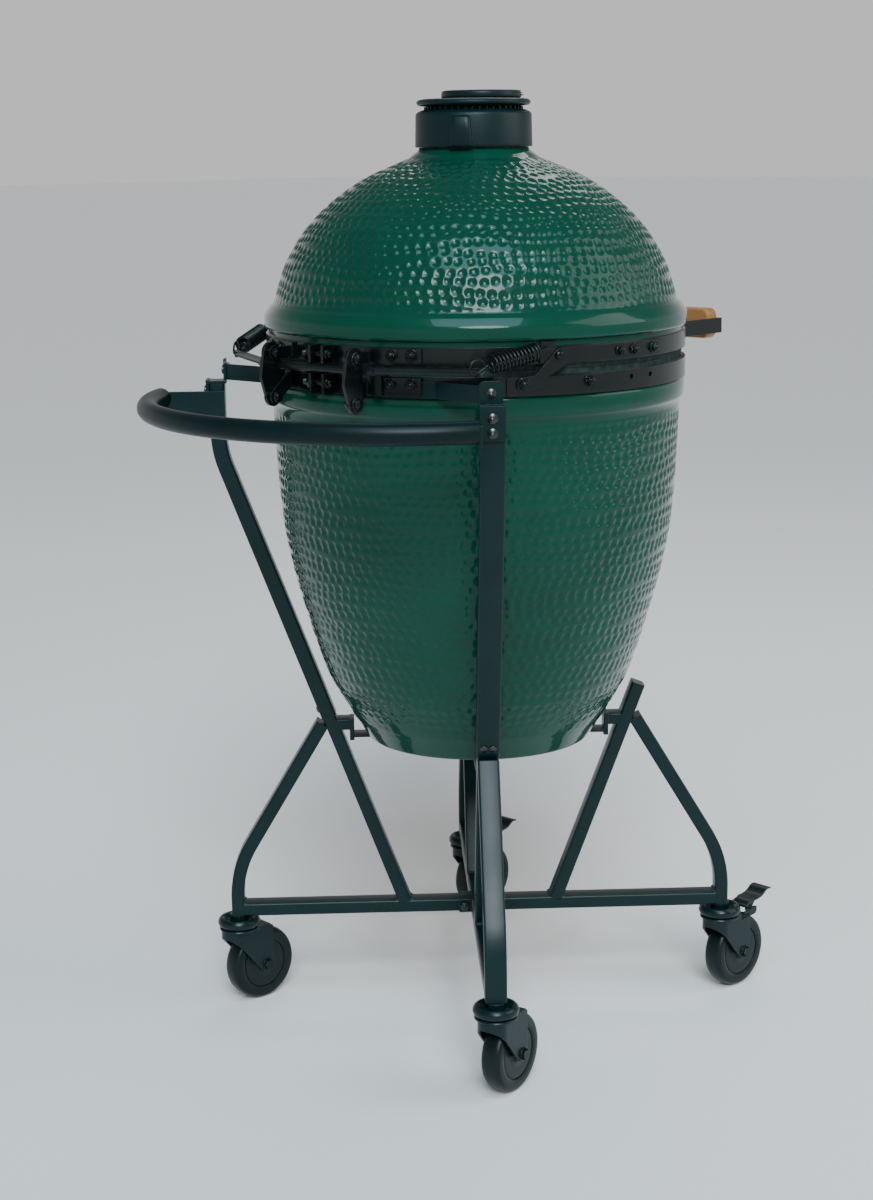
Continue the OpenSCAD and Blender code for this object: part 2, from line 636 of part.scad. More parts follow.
// ---------- springs ----------
rod_a = [96, 281, 884];
rod_b = [206, 226, 884];
hook = [241.5, 139, 908];
function seg_len(p, q) = norm(q - p);
module on_line(p, q)
  translate(p) rotate([0, acos((q[2] - p[2]) / norm(q - p)),
    atan2(q[1] - p[1], q[0] - p[0])]) children();
cross_rod = [281, 882];
module spring_rods() color([0.3, 0.33, 0.34]) {
  along_x(cross_rod[0], cross_rod[1], gap - link_x, link_x - gap, 5.2);
  both() rear_rod();
}
module rear_rod() {
  on_line(rod_a, rod_b) cylinder(h = seg_len(rod_a, rod_b), r = 4.6, $fn = 40);
  ring_part(276.2, 292, 878, 882.6, 17, 21);
  ring_part(276.2, 280, 853, 882.6, 17, 18.6);
}
coil_r = 10;
coil_n = 20;
coil_from = 9;
coil_to = 76;
coil_step = (coil_to - coil_from) / coil_n;
hook_len = 14;
coil_profile = concat([[6.6, coil_from]],
  [for (k = [0 : coil_n - 1]) each [[8.6, coil_from + coil_step * (k + 0.04)],
    [coil_r, coil_from + coil_step * (k + 0.32)], [coil_r, coil_from + coil_step * (k + 0.68)],
    [8.6, coil_from + coil_step * (k + 0.96)]]], [[6.6, coil_to]]);
module springs() color([0.25, 0.28, 0.28]) both() on_line(rod_b + [1.6, -5, 6], hook) {
  rotate_extrude($fn = 48) polygon(coil_profile);
  translate([0, 0, coil_from - 7]) cylinder(h = 9, r = 7.4, $fn = 40);
  translate([0, 0, coil_to - 1]) cylinder(h = hook_len, r = 4, $fn = 40);
}

// ---------- side arms ----------
// The lower arm is a plate on the band with a slanting link pinned over it.
// The link outline is drawn flat about link_mid, x along the band, y up.
link_mid = 58;
link_in = 272.6;
link_out = 276.2;
link_outline = concat(arc([25, 899], 8.2, -20, 130, 12), [[-8, 876]],
  arc([-21, 865.5], 8.8, 95, 270, 14), [[-8, 859], [6, 873], [29, 886]]);
module side_link() intersection() {
  ring_part(link_in, link_out, 850, 912, 46, 70);
  rotate([0, 0, -link_mid]) translate([0, 290, 0]) rotate([90, 0, 0]) linear_extrude(40)
    polygon(link_outline);
}
module side_arm_lower() color([0.09, 0.1, 0.1]) difference() {
  both() {
    ring_part(band_out + gap, 272, 853, 874, 49.5, 75.5);
    ring_part(270, link_in + 1.2, 862, 871, 55.6, 58.6);
    side_link();
  }
  both() for (a = arm_bolt_a) radial(a, arm_bolt_z, 255, 280, 3.4);
  both() radial(link_pin[0], link_pin[1], 255, 280, 3.4);
}
module side_arm_upper() color([0.09, 0.1, 0.1]) difference() {
  both() {
    ring_part(band_out + gap, 272, 889, 908, 58, 97.5);
    ring_part(band_out + 0.6, 271.6, 900, 914.6, 58.2, 62);
  }
  both() for (a = side_bolt_a) radial(a, side_bolt_z, 255, 280, 3.4);
}

// ---------- lid handle ----------
strap_bolt_a = 143.5;
wood_hx = 136;
strap_root = 231;
module handle_strap() color([0.07, 0.08, 0.08]) difference() {
  both() {
    translate([0, -343.4, 887]) cube([wood_hx + 4.6, 4, 20]);
    translate([wood_hx + 0.6, -343.4, 887]) cube([4, 343.4 - strap_root, 20]);
    ring_part(band_out + gap, 272, 887.6, 907, 141, 150.5);
  }
  both() radial(strap_bolt_a, 897, 255, 280, 3.4);
  both() translate([70, -350, 897]) rotate([-90, 0, 0]) cylinder(h = 20, r = 3.2, $fn = 32);
}
module wood_handle() color([0.72, 0.5, 0.3]) difference() {
  translate([0, -317, 880]) rotate([90, 0, 0]) linear_extrude(22) {
    translate([-wood_hx + 9, 0]) square([2 * wood_hx - 18, 40]);
    translate([-wood_hx, 9]) square([2 * wood_hx, 22]);
    for (x = [-wood_hx + 9, wood_hx - 9]) for (z = [9, 31]) translate([x, z]) circle(r = 9, $fn = 48);
  }
  both() translate([70, -350, 897]) rotate([-90, 0, 0]) cylinder(h = 23, r = 3.2, $fn = 32);
}

// ---------- dome ----------
thermo_z = 1010;
thermo_y = 233.6;
thermo_tilt = 31;
module at_thermometer() translate([0, -thermo_y, thermo_z])
  rotate([90 - thermo_tilt, 0, 0]) children();
module ceramic_dome() color([0.02, 0.22, 0.14]) difference() {
  rotate_extrude($fn = 180) polygon(concat(
    [[240, dome_bottom], [seam_r, dome_bottom], [seam_r, 914.6], [268, 915.4],
      [rim_r, 918], [rim_r, 930], [269, 936]], dome_outer,
    [[neck_r, 1131], [neck_r, neck_top], [flue_r, neck_top]],
    [for (i = [len(dome_inner) - 1 : -1 : 0]) dome_inner[i]]));
  at_thermometer() translate([0, 0, -60]) cylinder(h = 100, r = 5, $fn = 48);
  at_thermometer() translate([0, 0, 0.4]) cylinder(h = 30, r = 13, $fn = 60);
}
module thermometer() color([0.7, 0.7, 0.68]) at_thermometer() {
  difference() {
    translate([0, 0, 4.4]) cylinder(h = 12, r = 27, $fn = 90);
    translate([0, 0, 13.6]) cylinder(h = 4, r = 24.4, $fn = 90);
  }
  translate([0, 0, 13]) cylinder(h = 1.4, r = 2.2, $fn = 32);
  translate([-0.7, -2, 13]) cube([1.4, 21, 1.4]);
  translate([0, 0, 0.6]) cylinder(h = 5, r = 10, $fn = 6);
  translate([0, 0, -88]) cylinder(h = 92, r = 2.6, $fn = 32);
  translate([0, 0, -33]) cylinder(h = 5, r = 9, $fn = 6);
}

// ---------- chimney cap ----------
cap_z = 1137.2;
disc_z = 1187.6;
lug_a = 120;
cover_at = [-7, -7];
pin_at = [44, 44];
petal_n = 5;
module cap_gasket() color([0.1, 0.1, 0.1]) translate([0, 0, 1131.2]) difference() {
  cylinder(h = 5.8, r = 69.6, $fn = 120);
  translate([0, 0, -1]) cylinder(h = 8, r = neck_r + gap, $fn = 120);
}
module cap_collar() color([0.2, 0.24, 0.23]) {
  difference() {
    union() {
      rotate_extrude($fn = 120) polygon([[0, cap_z], [74, cap_z], [74, cap_z + 4],
        [73, cap_z + 42], [71.5, 1181.4], [59, 1181.4], [59, 1187.2], [0, 1187.2]]);
      rotate([0, 0, lug_a]) translate([60, -12, cap_z + 1]) cube([19, 24, 37]);
      rotate([0, 0, lug_a]) translate([60, -16, cap_z + 1]) cube([17.4, 32, 9]);
    }
    translate([0, 0, cap_z - 1]) cylinder(h = 30.8, r = neck_r + gap, $fn = 120);
    translate([0, 0, cap_z]) cylinder(h = 60, r = 50, $fn = 120);
    translate([pin_at[0] * 0.86, pin_at[1] * 0.86, 1170]) cylinder(h = 30, r = 3.3, $fn = 32);
    rotate([0, 0, lug_a]) translate([76.4, -1.6, cap_z - 1]) cube([5, 3.2, 42]);
  }
}
module petals(r0, r) for (k = [0 : petal_n - 1])
  rotate([0, 0, 360 / petal_n * k]) translate([r0, 0, -5]) cylinder(h = 40, r = r, $fn = 40);
module cap_disc() color([0.22, 0.26, 0.25]) {
  difference() {
    union() {
      translate([0, 0, disc_z]) cylinder(h = 9.2, r = 72, $fn = 120);
      translate([cover_at[0], cover_at[1], disc_z + 9]) cylinder(h = 9.6, r = 4, $fn = 40);
    }
    translate([cover_at[0], cover_at[1], disc_z]) petals(27, 9.5);
  }
  translate([pin_at[0] * 0.86, pin_at[1] * 0.86, 1178]) cylinder(h = 10, r = 3, $fn = 32);
}
module cap_cover() color([0.22, 0.26, 0.25]) translate([cover_at[0], cover_at[1], 0]) {
  difference() {
    union() {
      translate([0, 0, disc_z + 9.5]) cylinder(h = 6.4, r = 50.4, $fn = 120);
      translate([0, 0, disc_z + 15.8]) cylinder(h = 3.4, r = 46, $fn = 120);
      rotate([0, 0, 225]) translate([36, -5, disc_z + 10]) cube([18, 10, 9]);
    }
    translate([0, 0, disc_z]) cylinder(h = 40, r = 4 + run, $fn = 40);
    translate([0, 0, disc_z]) rotate([0, 0, 36]) petals(27, 9.5);
  }
}

// ---------- the parts ----------
place() nest_frame_a();
place() nest_frame_b();
place() cross_bolts();
place() upright(45);  // upright_left
place() upright(135);  // upright_right
place() nest_screws();
place() handle_bracket(45, 1);  // handle_bracket_left
place() handle_bracket(135, -1);  // handle_bracket_right
place() push_handle();
place() strap();  // strap_left
place() mirror([1, 0, 0]) strap();  // strap_right
place() caster_stems();
place() fork(0, false);  // fork_a
place() fork(1, false);  // fork_b
place() fork(2, true);  // fork_c
place() fork(3, true);  // fork_d
place() axle(0);  // axle_a
place() axle(1);  // axle_b
place() axle(2);  // axle_c
place() axle(3);  // axle_d
place() hub(0);  // hub_a
place() hub(1);  // hub_b
place() hub(2);  // hub_c
place() hub(3);  // hub_d
place() tyre(0);  // tyre_a
place() tyre(1);  // tyre_b
place() tyre(2);  // tyre_c
place() tyre(3);  // tyre_d
place() brake_pedal(2);  // brake_pedal_c
place() brake_pedal(3);  // brake_pedal_d
place() ceramic_base();
place() firebox();
place() fire_grate();
place() fire_ring();
place() cooking_grid();
place() draft_frame();
place() draft_door();
place() draft_screen();
place() lower_band();
place() lower_band_bolts();
place() lower_gasket();
place() hinge_lower();
place() hinge_links();
place() hinge_pins();
place() spring_rods();
place() springs();
place() side_arm_lower();
place() upper_gasket();
place() ceramic_dome();
place() upper_band();
place() upper_band_bolts();
place() hinge_upper();
place() side_arm_upper();
place() handle_strap();
place() wood_handle();
place() thermometer();
place() cap_gasket();
place() cap_collar();
place() cap_disc();
place() cap_cover();
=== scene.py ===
"""Looks of the kamado grill in its wheeled nest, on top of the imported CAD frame.

Lengths in the helpers are millimetres measured from the egg axis and the floor;
solid() turns them into metres in the CAD frame.
"""

import json
import math

import bpy
import numpy as np
from mathutils import Matrix, Vector


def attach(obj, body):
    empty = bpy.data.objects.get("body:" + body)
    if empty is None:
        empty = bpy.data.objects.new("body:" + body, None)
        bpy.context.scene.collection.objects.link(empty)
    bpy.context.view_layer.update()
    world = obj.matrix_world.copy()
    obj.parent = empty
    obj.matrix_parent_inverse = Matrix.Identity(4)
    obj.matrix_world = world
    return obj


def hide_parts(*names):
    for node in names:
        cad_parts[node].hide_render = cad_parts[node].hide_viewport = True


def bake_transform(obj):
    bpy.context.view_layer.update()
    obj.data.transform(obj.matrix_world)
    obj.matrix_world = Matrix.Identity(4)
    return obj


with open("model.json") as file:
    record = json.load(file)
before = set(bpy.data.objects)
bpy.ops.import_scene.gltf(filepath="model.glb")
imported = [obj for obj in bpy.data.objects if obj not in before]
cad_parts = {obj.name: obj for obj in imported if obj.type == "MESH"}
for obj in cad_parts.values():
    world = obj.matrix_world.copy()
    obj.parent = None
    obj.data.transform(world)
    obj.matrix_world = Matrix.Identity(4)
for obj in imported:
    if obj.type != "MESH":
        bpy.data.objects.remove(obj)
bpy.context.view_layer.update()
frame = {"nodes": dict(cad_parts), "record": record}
SCENE = bpy.context.scene
EGG_Y = -58.5
rng = np.random.default_rng(7)


# ---------------------------------------------------------------- materials
def link(tree, a, b):
    tree.links.new(a, b)


def make_material(slot, colour, rough, metallic=0.0, coat=0.0, coat_rough=0.05,
                  vary=0.12, cloud=18.0, grain=900.0, bump=0.06, edge=0.8,
                  worn=None, worn_share=0.0, rough_vary=0.08, streak=None, shine=0.5,
                  coat_ior=1.5):
    """A procedural finish: clouded colour and roughness, fine bump, rounded and worn edges."""
    mat = bpy.data.materials.new(slot)
    mat.use_nodes = True
    tree = mat.node_tree
    shader = tree.nodes["Principled BSDF"]
    shader.inputs["Metallic"].default_value = metallic
    shader.inputs["Coat Weight"].default_value = coat
    shader.inputs["Coat Roughness"].default_value = coat_rough
    shader.inputs["Coat IOR"].default_value = coat_ior
    shader.inputs["Specular IOR Level"].default_value = shine
    where = tree.nodes.new("ShaderNodeTexCoord").outputs["Object"]
    if streak:
        stretch = tree.nodes.new("ShaderNodeMapping")
        stretch.inputs["Scale"].default_value = streak
        link(tree, where, stretch.inputs["Vector"])
        where = stretch.outputs["Vector"]
    clouds = tree.nodes.new("ShaderNodeTexNoise")
    clouds.inputs["Scale"].default_value = cloud
    clouds.inputs["Detail"].default_value = 5.0
    link(tree, where, clouds.inputs["Vector"])
    ramp = tree.nodes.new("ShaderNodeValToRGB")
    ramp.color_ramp.elements[0].position = 0.3
    ramp.color_ramp.elements[1].position = 0.7
    ramp.color_ramp.elements[0].color = [c * (1 - vary) for c in colour] + [1]
    ramp.color_ramp.elements[1].color = [min(1, c * (1 + vary)) for c in colour] + [1]
    link(tree, clouds.outputs["Fac"], ramp.inputs["Fac"])
    tint = ramp.outputs["Color"]
    fine = tree.nodes.new("ShaderNodeTexNoise")
    fine.inputs["Scale"].default_value = grain
    fine.inputs["Detail"].default_value = 3.0
    link(tree, where, fine.inputs["Vector"])
    spread = tree.nodes.new("ShaderNodeMapRange")
    spread.inputs["To Min"].default_value = max(0.02, rough - rough_vary)
    spread.inputs["To Max"].default_value = min(1.0, rough + rough_vary)
    link(tree, clouds.outputs["Fac"], spread.inputs["Value"])
    link(tree, spread.outputs["Result"], shader.inputs["Roughness"])
    relief = tree.nodes.new("ShaderNodeBump")
    relief.inputs["Strength"].default_value = bump
    relief.inputs["Distance"].default_value = 0.0005
    link(tree, fine.outputs["Fac"], relief.inputs["Height"])
    if edge:
        rounding = tree.nodes.new("ShaderNodeBevel")
        rounding.samples = 4
        rounding.inputs["Radius"].default_value = edge * 0.001
        link(tree, rounding.outputs["Normal"], relief.inputs["Normal"])
        if worn:
            tint = worn_edges(tree, rounding, tint, worn, worn_share)
    link(tree, relief.outputs["Normal"], shader.inputs["Normal"])
    link(tree, tint, shader.inputs["Base Color"])
    return mat


def worn_edges(tree, rounding, tint, worn, share):
    """Mixes a lighter colour in where the rounded normal leaves the flat one."""
    flat = tree.nodes.new("ShaderNodeNewGeometry")
    dot = tree.nodes.new("ShaderNodeVectorMath")
    dot.operation = "DOT_PRODUCT"
    link(tree, rounding.outputs["Normal"], dot.inputs[0])
    link(tree, flat.outputs["Normal"], dot.inputs[1])
    mask = tree.nodes.new("ShaderNodeMapRange")
    mask.inputs["From Min"].default_value = 0.995
    mask.inputs["From Max"].default_value = 0.85
    mask.inputs["To Max"].default_value = share
    link(tree, dot.outputs["Value"], mask.inputs["Value"])
    mix = tree.nodes.new("ShaderNodeMix")
    mix.data_type = "RGBA"
    mix.inputs["B"].default_value = (*worn, 1)
    link(tree, mask.outputs["Result"], mix.inputs["Factor"])
    link(tree, tint, mix.inputs["A"])
    return mix.outputs["Result"]


POWDER_WORN = (0.05, 0.075, 0.075)
FINISH = {
    "nest_steel": dict(colour=(0.0009, 0.0135, 0.0145), rough=0.31, worn=POWDER_WORN,
                       worn_share=0.3, bump=0.12, grain=1400, edge=1.0, shine=0.22),
    "handle_steel": dict(colour=(0.0014, 0.0090, 0.0105), rough=0.36, worn=POWDER_WORN,
                         worn_share=0.25, bump=0.10, grain=1400, edge=0.8, shine=0.16),
    "zinc": dict(colour=(0.055, 0.062, 0.064), rough=0.28, metallic=0.9, bump=0.10,
                 worn=(0.3, 0.32, 0.31), worn_share=0.5, edge=0.6),
    "caster_steel": dict(colour=(0.0020, 0.0110, 0.0120), rough=0.28, worn=POWDER_WORN,
                         worn_share=0.4, bump=0.08, edge=1.2, shine=0.25),
    "wheel_hub": dict(colour=(0.0022, 0.0085, 0.0092), rough=0.36, bump=0.08, edge=0.6,
                      shine=0.25),
    "wheel_tread": dict(colour=(0.0022, 0.0080, 0.0088), rough=0.34, bump=0.12, grain=1800,
                        worn=(0.02, 0.026, 0.026), worn_share=0.3, edge=0.6, shine=0.22),
    "pedal": dict(colour=(0.0060, 0.0110, 0.0115), rough=0.34, worn=POWDER_WORN,
                  worn_share=0.45, bump=0.08, edge=1.0, shine=0.3),
    "glaze": dict(colour=(0.0004, 0.044, 0.027), rough=0.22, coat=1.0, coat_rough=0.02,
                  vary=0.10, cloud=9, bump=0.015, grain=160, edge=0, rough_vary=0.04,
                  shine=0.1, coat_ior=1.22),
    "fireclay": dict(colour=(0.46, 0.38, 0.28), rough=0.9, vary=0.2, bump=0.5, grain=500,
                     cloud=14, edge=1.5, worn=(0.6, 0.54, 0.44), worn_share=0.5),
    "iron": dict(colour=(0.02, 0.02, 0.02), rough=0.7, metallic=0.3, bump=0.5, grain=700,
                 edge=1.2, worn=(0.08, 0.075, 0.07), worn_share=0.4),
    "vent_iron": dict(colour=(0.0020, 0.0120, 0.0130), rough=0.38, bump=0.3, grain=700,
                      edge=1.4, worn=POWDER_WORN, worn_share=0.3, shine=0.2),
    "grid_steel": dict(colour=(0.4, 0.4, 0.38), rough=0.32, metallic=1.0, bump=0.1,
                       edge=0.6),
    "stainless": dict(colour=(0.42, 0.42, 0.40), rough=0.3, metallic=1.0, bump=0.12,
                      grain=300, edge=0.5, streak=(1, 30, 30)),
    "bolt_black": dict(colour=(0.018, 0.024, 0.025), rough=0.26, metallic=0.9, bump=0.10,
                       worn=(0.12, 0.13, 0.13), worn_share=0.5, edge=0.5),
    "band_steel": dict(colour=(0.0020, 0.0038, 0.0042), rough=0.2, bump=0.12, grain=1200,
                       edge=0.8, worn=POWDER_WORN, worn_share=0.3, shine=0.4),
    "felt": dict(colour=(0.030, 0.042, 0.042), rough=1.0, vary=0.4, cloud=120, bump=0.9,
                 grain=2600, edge=0, rough_vary=0.0, shine=0.1),
    "spring_steel": dict(colour=(0.020, 0.027, 0.028), rough=0.28, metallic=0.8,
                         bump=0.08, edge=0),
    "timber": dict(colour=(0.30, 0.135, 0.045), rough=0.5, vary=0.38, cloud=26, bump=0.3,
                   grain=420, edge=1.0, rough_vary=0.1, streak=(0.12, 1.6, 1.6), shine=0.3),
}
MATERIAL = {name: make_material(name, **values) for name, values in FINISH.items()}
for entry in frame["record"]["subparts"]:
    mesh = frame["nodes"][entry["node"]].data
    mesh.materials.clear()
    mesh.materials.append(MATERIAL[entry["material_slot"]])


# ---------------------------------------------------------------- mesh helpers
def outward(points, faces):
    """Turns the faces of a closed skin over if they look inwards."""
    points = np.asarray(points, float)
    volume, sizes = 0.0, {}
    for face in faces:
        sizes.setdefault(len(face), []).append(face)
    for group in sizes.values():
        p = points[np.array(group)]
        for k in range(1, p.shape[1] - 1):
            volume += np.einsum("ij,ij->", p[:, 0], np.cross(p[:, k], p[:, k + 1]))
    return faces if volume > 0 else [face[::-1] for face in faces]


def solid(name, points, faces, body, slot, replaces=(), sharp=32):
    """Makes a piece from millimetre points about the egg axis; it rides a body."""
    faces = outward(points, faces)
    verts = np.asarray(points, float) * 0.001
    verts[:, 1] += EGG_Y * 0.001
    mesh = bpy.data.meshes.new(name)
    sizes = np.array([len(f) for f in faces])
    mesh.vertices.add(len(verts))
    mesh.vertices.foreach_set("co", verts.astype(np.float32).ravel())
    mesh.loops.add(int(sizes.sum()))
    corners = np.concatenate([np.asarray(f) for f in faces])
    mesh.loops.foreach_set("vertex_index", corners.astype(np.int32))
    mesh.polygons.add(len(faces))
    mesh.polygons.foreach_set("loop_start", (np.cumsum(sizes) - sizes).astype(np.int32))
    mesh.update(calc_edges=True)
    mesh.validate()
    return dress(bpy.data.objects.new(name, mesh), body, slot, replaces, sharp)


def dress(obj, body, slot, replaces=(), sharp=32):
    mesh = obj.data
    mesh.polygons.foreach_set("use_smooth", np.ones(len(mesh.polygons), bool))
    if sharp < 180:
        mesh.set_sharp_from_angle(angle=math.radians(sharp))
    mesh.materials.clear()
    mesh.materials.append(MATERIAL[slot])
    if obj.name not in SCENE.collection.objects:
        SCENE.collection.objects.link(obj)
    if body:
        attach(obj, body)
    if replaces:
        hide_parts(*replaces)
    return obj


class Shape:
    """Collects several closed skins, then becomes one piece."""

    def __init__(self):
        self.points, self.faces, self.count = [], [], 0

    def add(self, points, faces):
        self.points.append(np.asarray(points, float))
        self.faces.extend([np.asarray(f) + self.count for f in outward(points, faces)])
        self.count += len(points)

    def piece(self, name, body, slot, replaces=(), sharp=32):
        return solid(name, np.vstack(self.points), self.faces, body, slot, replaces, sharp)


def rings_skin(rings, closed=False, caps=True):
    """Joins equal rings of points into a skin; rings has shape (rows, columns, 3)."""
    rings = np.asarray(rings, float)
    rows, cols = rings.shape[:2]
    i = np.arange(rows if closed else rows - 1)[:, None]
    j = np.arange(cols)[None, :]
    here, there = i * cols, ((i + 1) % rows) * cols
    nxt = (j + 1) % cols
    quads = np.stack([here + j, here + nxt, there + nxt, there + j], -1).reshape(-1, 4)
    faces = list(quads)
    if caps and not closed:
        faces.append(np.arange(cols)[::-1])
        faces.append((rows - 1) * cols + np.arange(cols))
    return rings.reshape(-1, 3), faces


def sweep(path, section, up, closed=False, scale=None, caps=True):
    """Carries a flat section along a path; up fixes how the section is held."""
    path = np.asarray(path, float)
    section = np.asarray(section, float)
    if closed:
        ahead = np.roll(path, -1, 0) - np.roll(path, 1, 0)
    else:
        ahead = np.gradient(path, axis=0)
    ahead /= np.linalg.norm(ahead, axis=1)[:, None]
    up = np.broadcast_to(np.asarray(up, float), path.shape)
    side = np.cross(up, ahead)
    side /= np.linalg.norm(side, axis=1)[:, None]
    top = np.cross(ahead, side)
    size = np.ones(len(path)) if scale is None else np.asarray(scale, float)
    rings = (path[:, None] + size[:, None, None]
             * (section[None, :, :1] * side[:, None] + section[None, :, 1:] * top[:, None]))
    return rings_skin(rings, closed, caps)


def disc(radius, n=24):
    t = np.arange(n) * 2 * math.pi / n
    return np.stack([radius * np.cos(t), radius * np.sin(t)], 1)


def rounded(width, height, radius, n=5):
    """Outline of a rectangle with rounded corners, centred on the origin."""
    out = []
    for k, (sx, sy) in enumerate([(1, 1), (-1, 1), (-1, -1), (1, -1)]):
        for t in np.linspace(0, math.pi / 2, n):
            a = t + k * math.pi / 2
            out.append([sx * (width / 2 - radius) + radius * math.cos(a),
                        sy * (height / 2 - radius) + radius * math.sin(a)])
    return np.array(out)


def lathe(profile, n=96, closed=True):
    """Turns a (radius, height) outline round Z; a closed outline gives a ring."""
    profile = np.asarray(profile, float)
    t = np.arange(n) * 2 * math.pi / n
    rings = np.stack([profile[:, :1] * np.cos(t), profile[:, :1] * np.sin(t),
                      np.repeat(profile[:, 1:], n, 1)], -1)
    points, faces = rings_skin(rings, closed, caps=not closed)
    return points, [f[::-1] for f in faces]


def moved(points, matrix):
    m = np.array(matrix)
    return np.asarray(points, float) @ m[:3, :3].T + m[:3, 3]


def place(x=0.0, y=0.0, z=0.0):
    return Matrix.Translation((x, y, z))


def spin(degrees, axis="Z"):
    return Matrix.Rotation(math.radians(degrees), 4, axis)


def arc(centre, radius, a0, a1, n):
    """Points on a flat arc, angles in degrees."""
    t = np.radians(np.linspace(a0, a1, n))
    return np.stack([centre[0] + radius * np.cos(t), centre[1] + radius * np.sin(t)], 1)


def in_arm(flat, angle, shift=0.0):
    """Stands (radius, height) points up in the plane of an arm."""
    flat = np.asarray(flat, float)
    a = math.radians(angle)
    return np.stack([flat[:, 0] * math.cos(a) - shift * math.sin(a),
                     flat[:, 0] * math.sin(a) + shift * math.cos(a), flat[:, 1]], 1)


def resample(path, step):
    """Even steps along a smooth path."""
    path = np.asarray(path, float)
    s = np.r_[0, np.cumsum(np.linalg.norm(np.diff(path, axis=0), axis=1))]
    n = max(2, int(round(s[-1] / step)) + 1)
    t = np.linspace(0, s[-1], n)
    return np.stack([np.interp(t, s, path[:, k]) for k in range(path.shape[1])], 1)


def cut(obj, cutters):
    """Takes closed skins, each (points, faces), out of a piece."""
    shape = Shape()
    for points, faces in cutters:
        shape.add(points, faces)
    tool = shape.piece("cutter", None, "glaze")
    step = obj.modifiers.new("cut", "BOOLEAN")
    step.operation = "DIFFERENCE"
    step.solver = "MANIFOLD"
    step.object = tool
    graph = bpy.context.evaluated_depsgraph_get()
    mesh = bpy.data.meshes.new_from_object(obj.evaluated_get(graph))
    obj.modifiers.clear()
    obj.data = mesh
    bpy.data.objects.remove(tool)
    return obj


def box_skin(low, high):
    x0, y0, z0 = low
    x1, y1, z1 = high
    points = [[x0, y0, z0], [x1, y0, z0], [x1, y1, z0], [x0, y1, z0],
              [x0, y0, z1], [x1, y0, z1], [x1, y1, z1], [x0, y1, z1]]
    faces = [[0, 3, 2, 1], [4, 5, 6, 7], [0, 1, 5, 4], [1, 2, 6, 5], [2, 3, 7, 6], [3, 0, 4, 7]]
    return points, faces


def rod_skin(start, end, radius, n=24):
    start, end = np.array(start, float), np.array(end, float)
    along = end - start
    up = (0, 0, 1) if abs(along[2]) < 0.9 * np.linalg.norm(along) else (1, 0, 0)
    return sweep([start, end], disc(radius, n), up)


# ---------------------------------------------------------------- glazed egg
PITCH = 14.0
DEPTH = 1.7
DIAL_SEAT = place(0, -233.6, 1010) @ spin(59, "X")


def outer_line(node):
    """(radius, height) of the outer skin of a turned CAD node, read off its mesh."""
    mesh = frame["nodes"][node].data
    co = np.zeros(len(mesh.vertices) * 3)
    mesh.vertices.foreach_get("co", co)
    co = np.unique(np.round(co.reshape(-1, 3) * 1000, 3), axis=0)
    radius = np.hypot(co[:, 0], co[:, 1] - EGG_Y)
    line = []
    for z in np.unique(np.round(co[:, 2], 2)):
        r = radius[np.abs(co[:, 2] - z) < 0.01]
        if (r > r.max() - 0.03).sum() >= 40:
            line.append([r.max(), z])
    line = np.array(line)
    while True:
        mid = np.interp(line[1:-1, 1], line[:, 1], line[:, 0])
        short = np.array([np.interp(line[i, 1], [line[i - 1, 1], line[i + 1, 1]],
                                    [line[i - 1, 0], line[i + 1, 0]]) - line[i, 0]
                          for i in range(1, len(line) - 1)])
        worst = short.argmax()
        if short[worst] < 7:
            return line
        line = np.delete(line, worst + 1, 0)


def smooth_line(line, step):
    """A dense Catmull-Rom curve through the points of a line."""
    p = np.vstack([2 * line[0] - line[1], line, 2 * line[-1] - line[-2]])
    out = []
    for i in range(1, len(p) - 2):
        n = max(2, int(np.linalg.norm(p[i + 1] - p[i]) / 0.5))
        t = np.linspace(0, 1, n, endpoint=False)[:, None]
        out.append(0.5 * (2 * p[i] + (p[i + 1] - p[i - 1]) * t
                          + (2 * p[i - 1] - 5 * p[i] + 4 * p[i + 1] - p[i + 2]) * t ** 2
                          + (3 * p[i] - p[i - 1] - 3 * p[i + 1] + p[i + 2]) * t ** 3))
    return resample(np.vstack(out + [line[-1:]]), step)


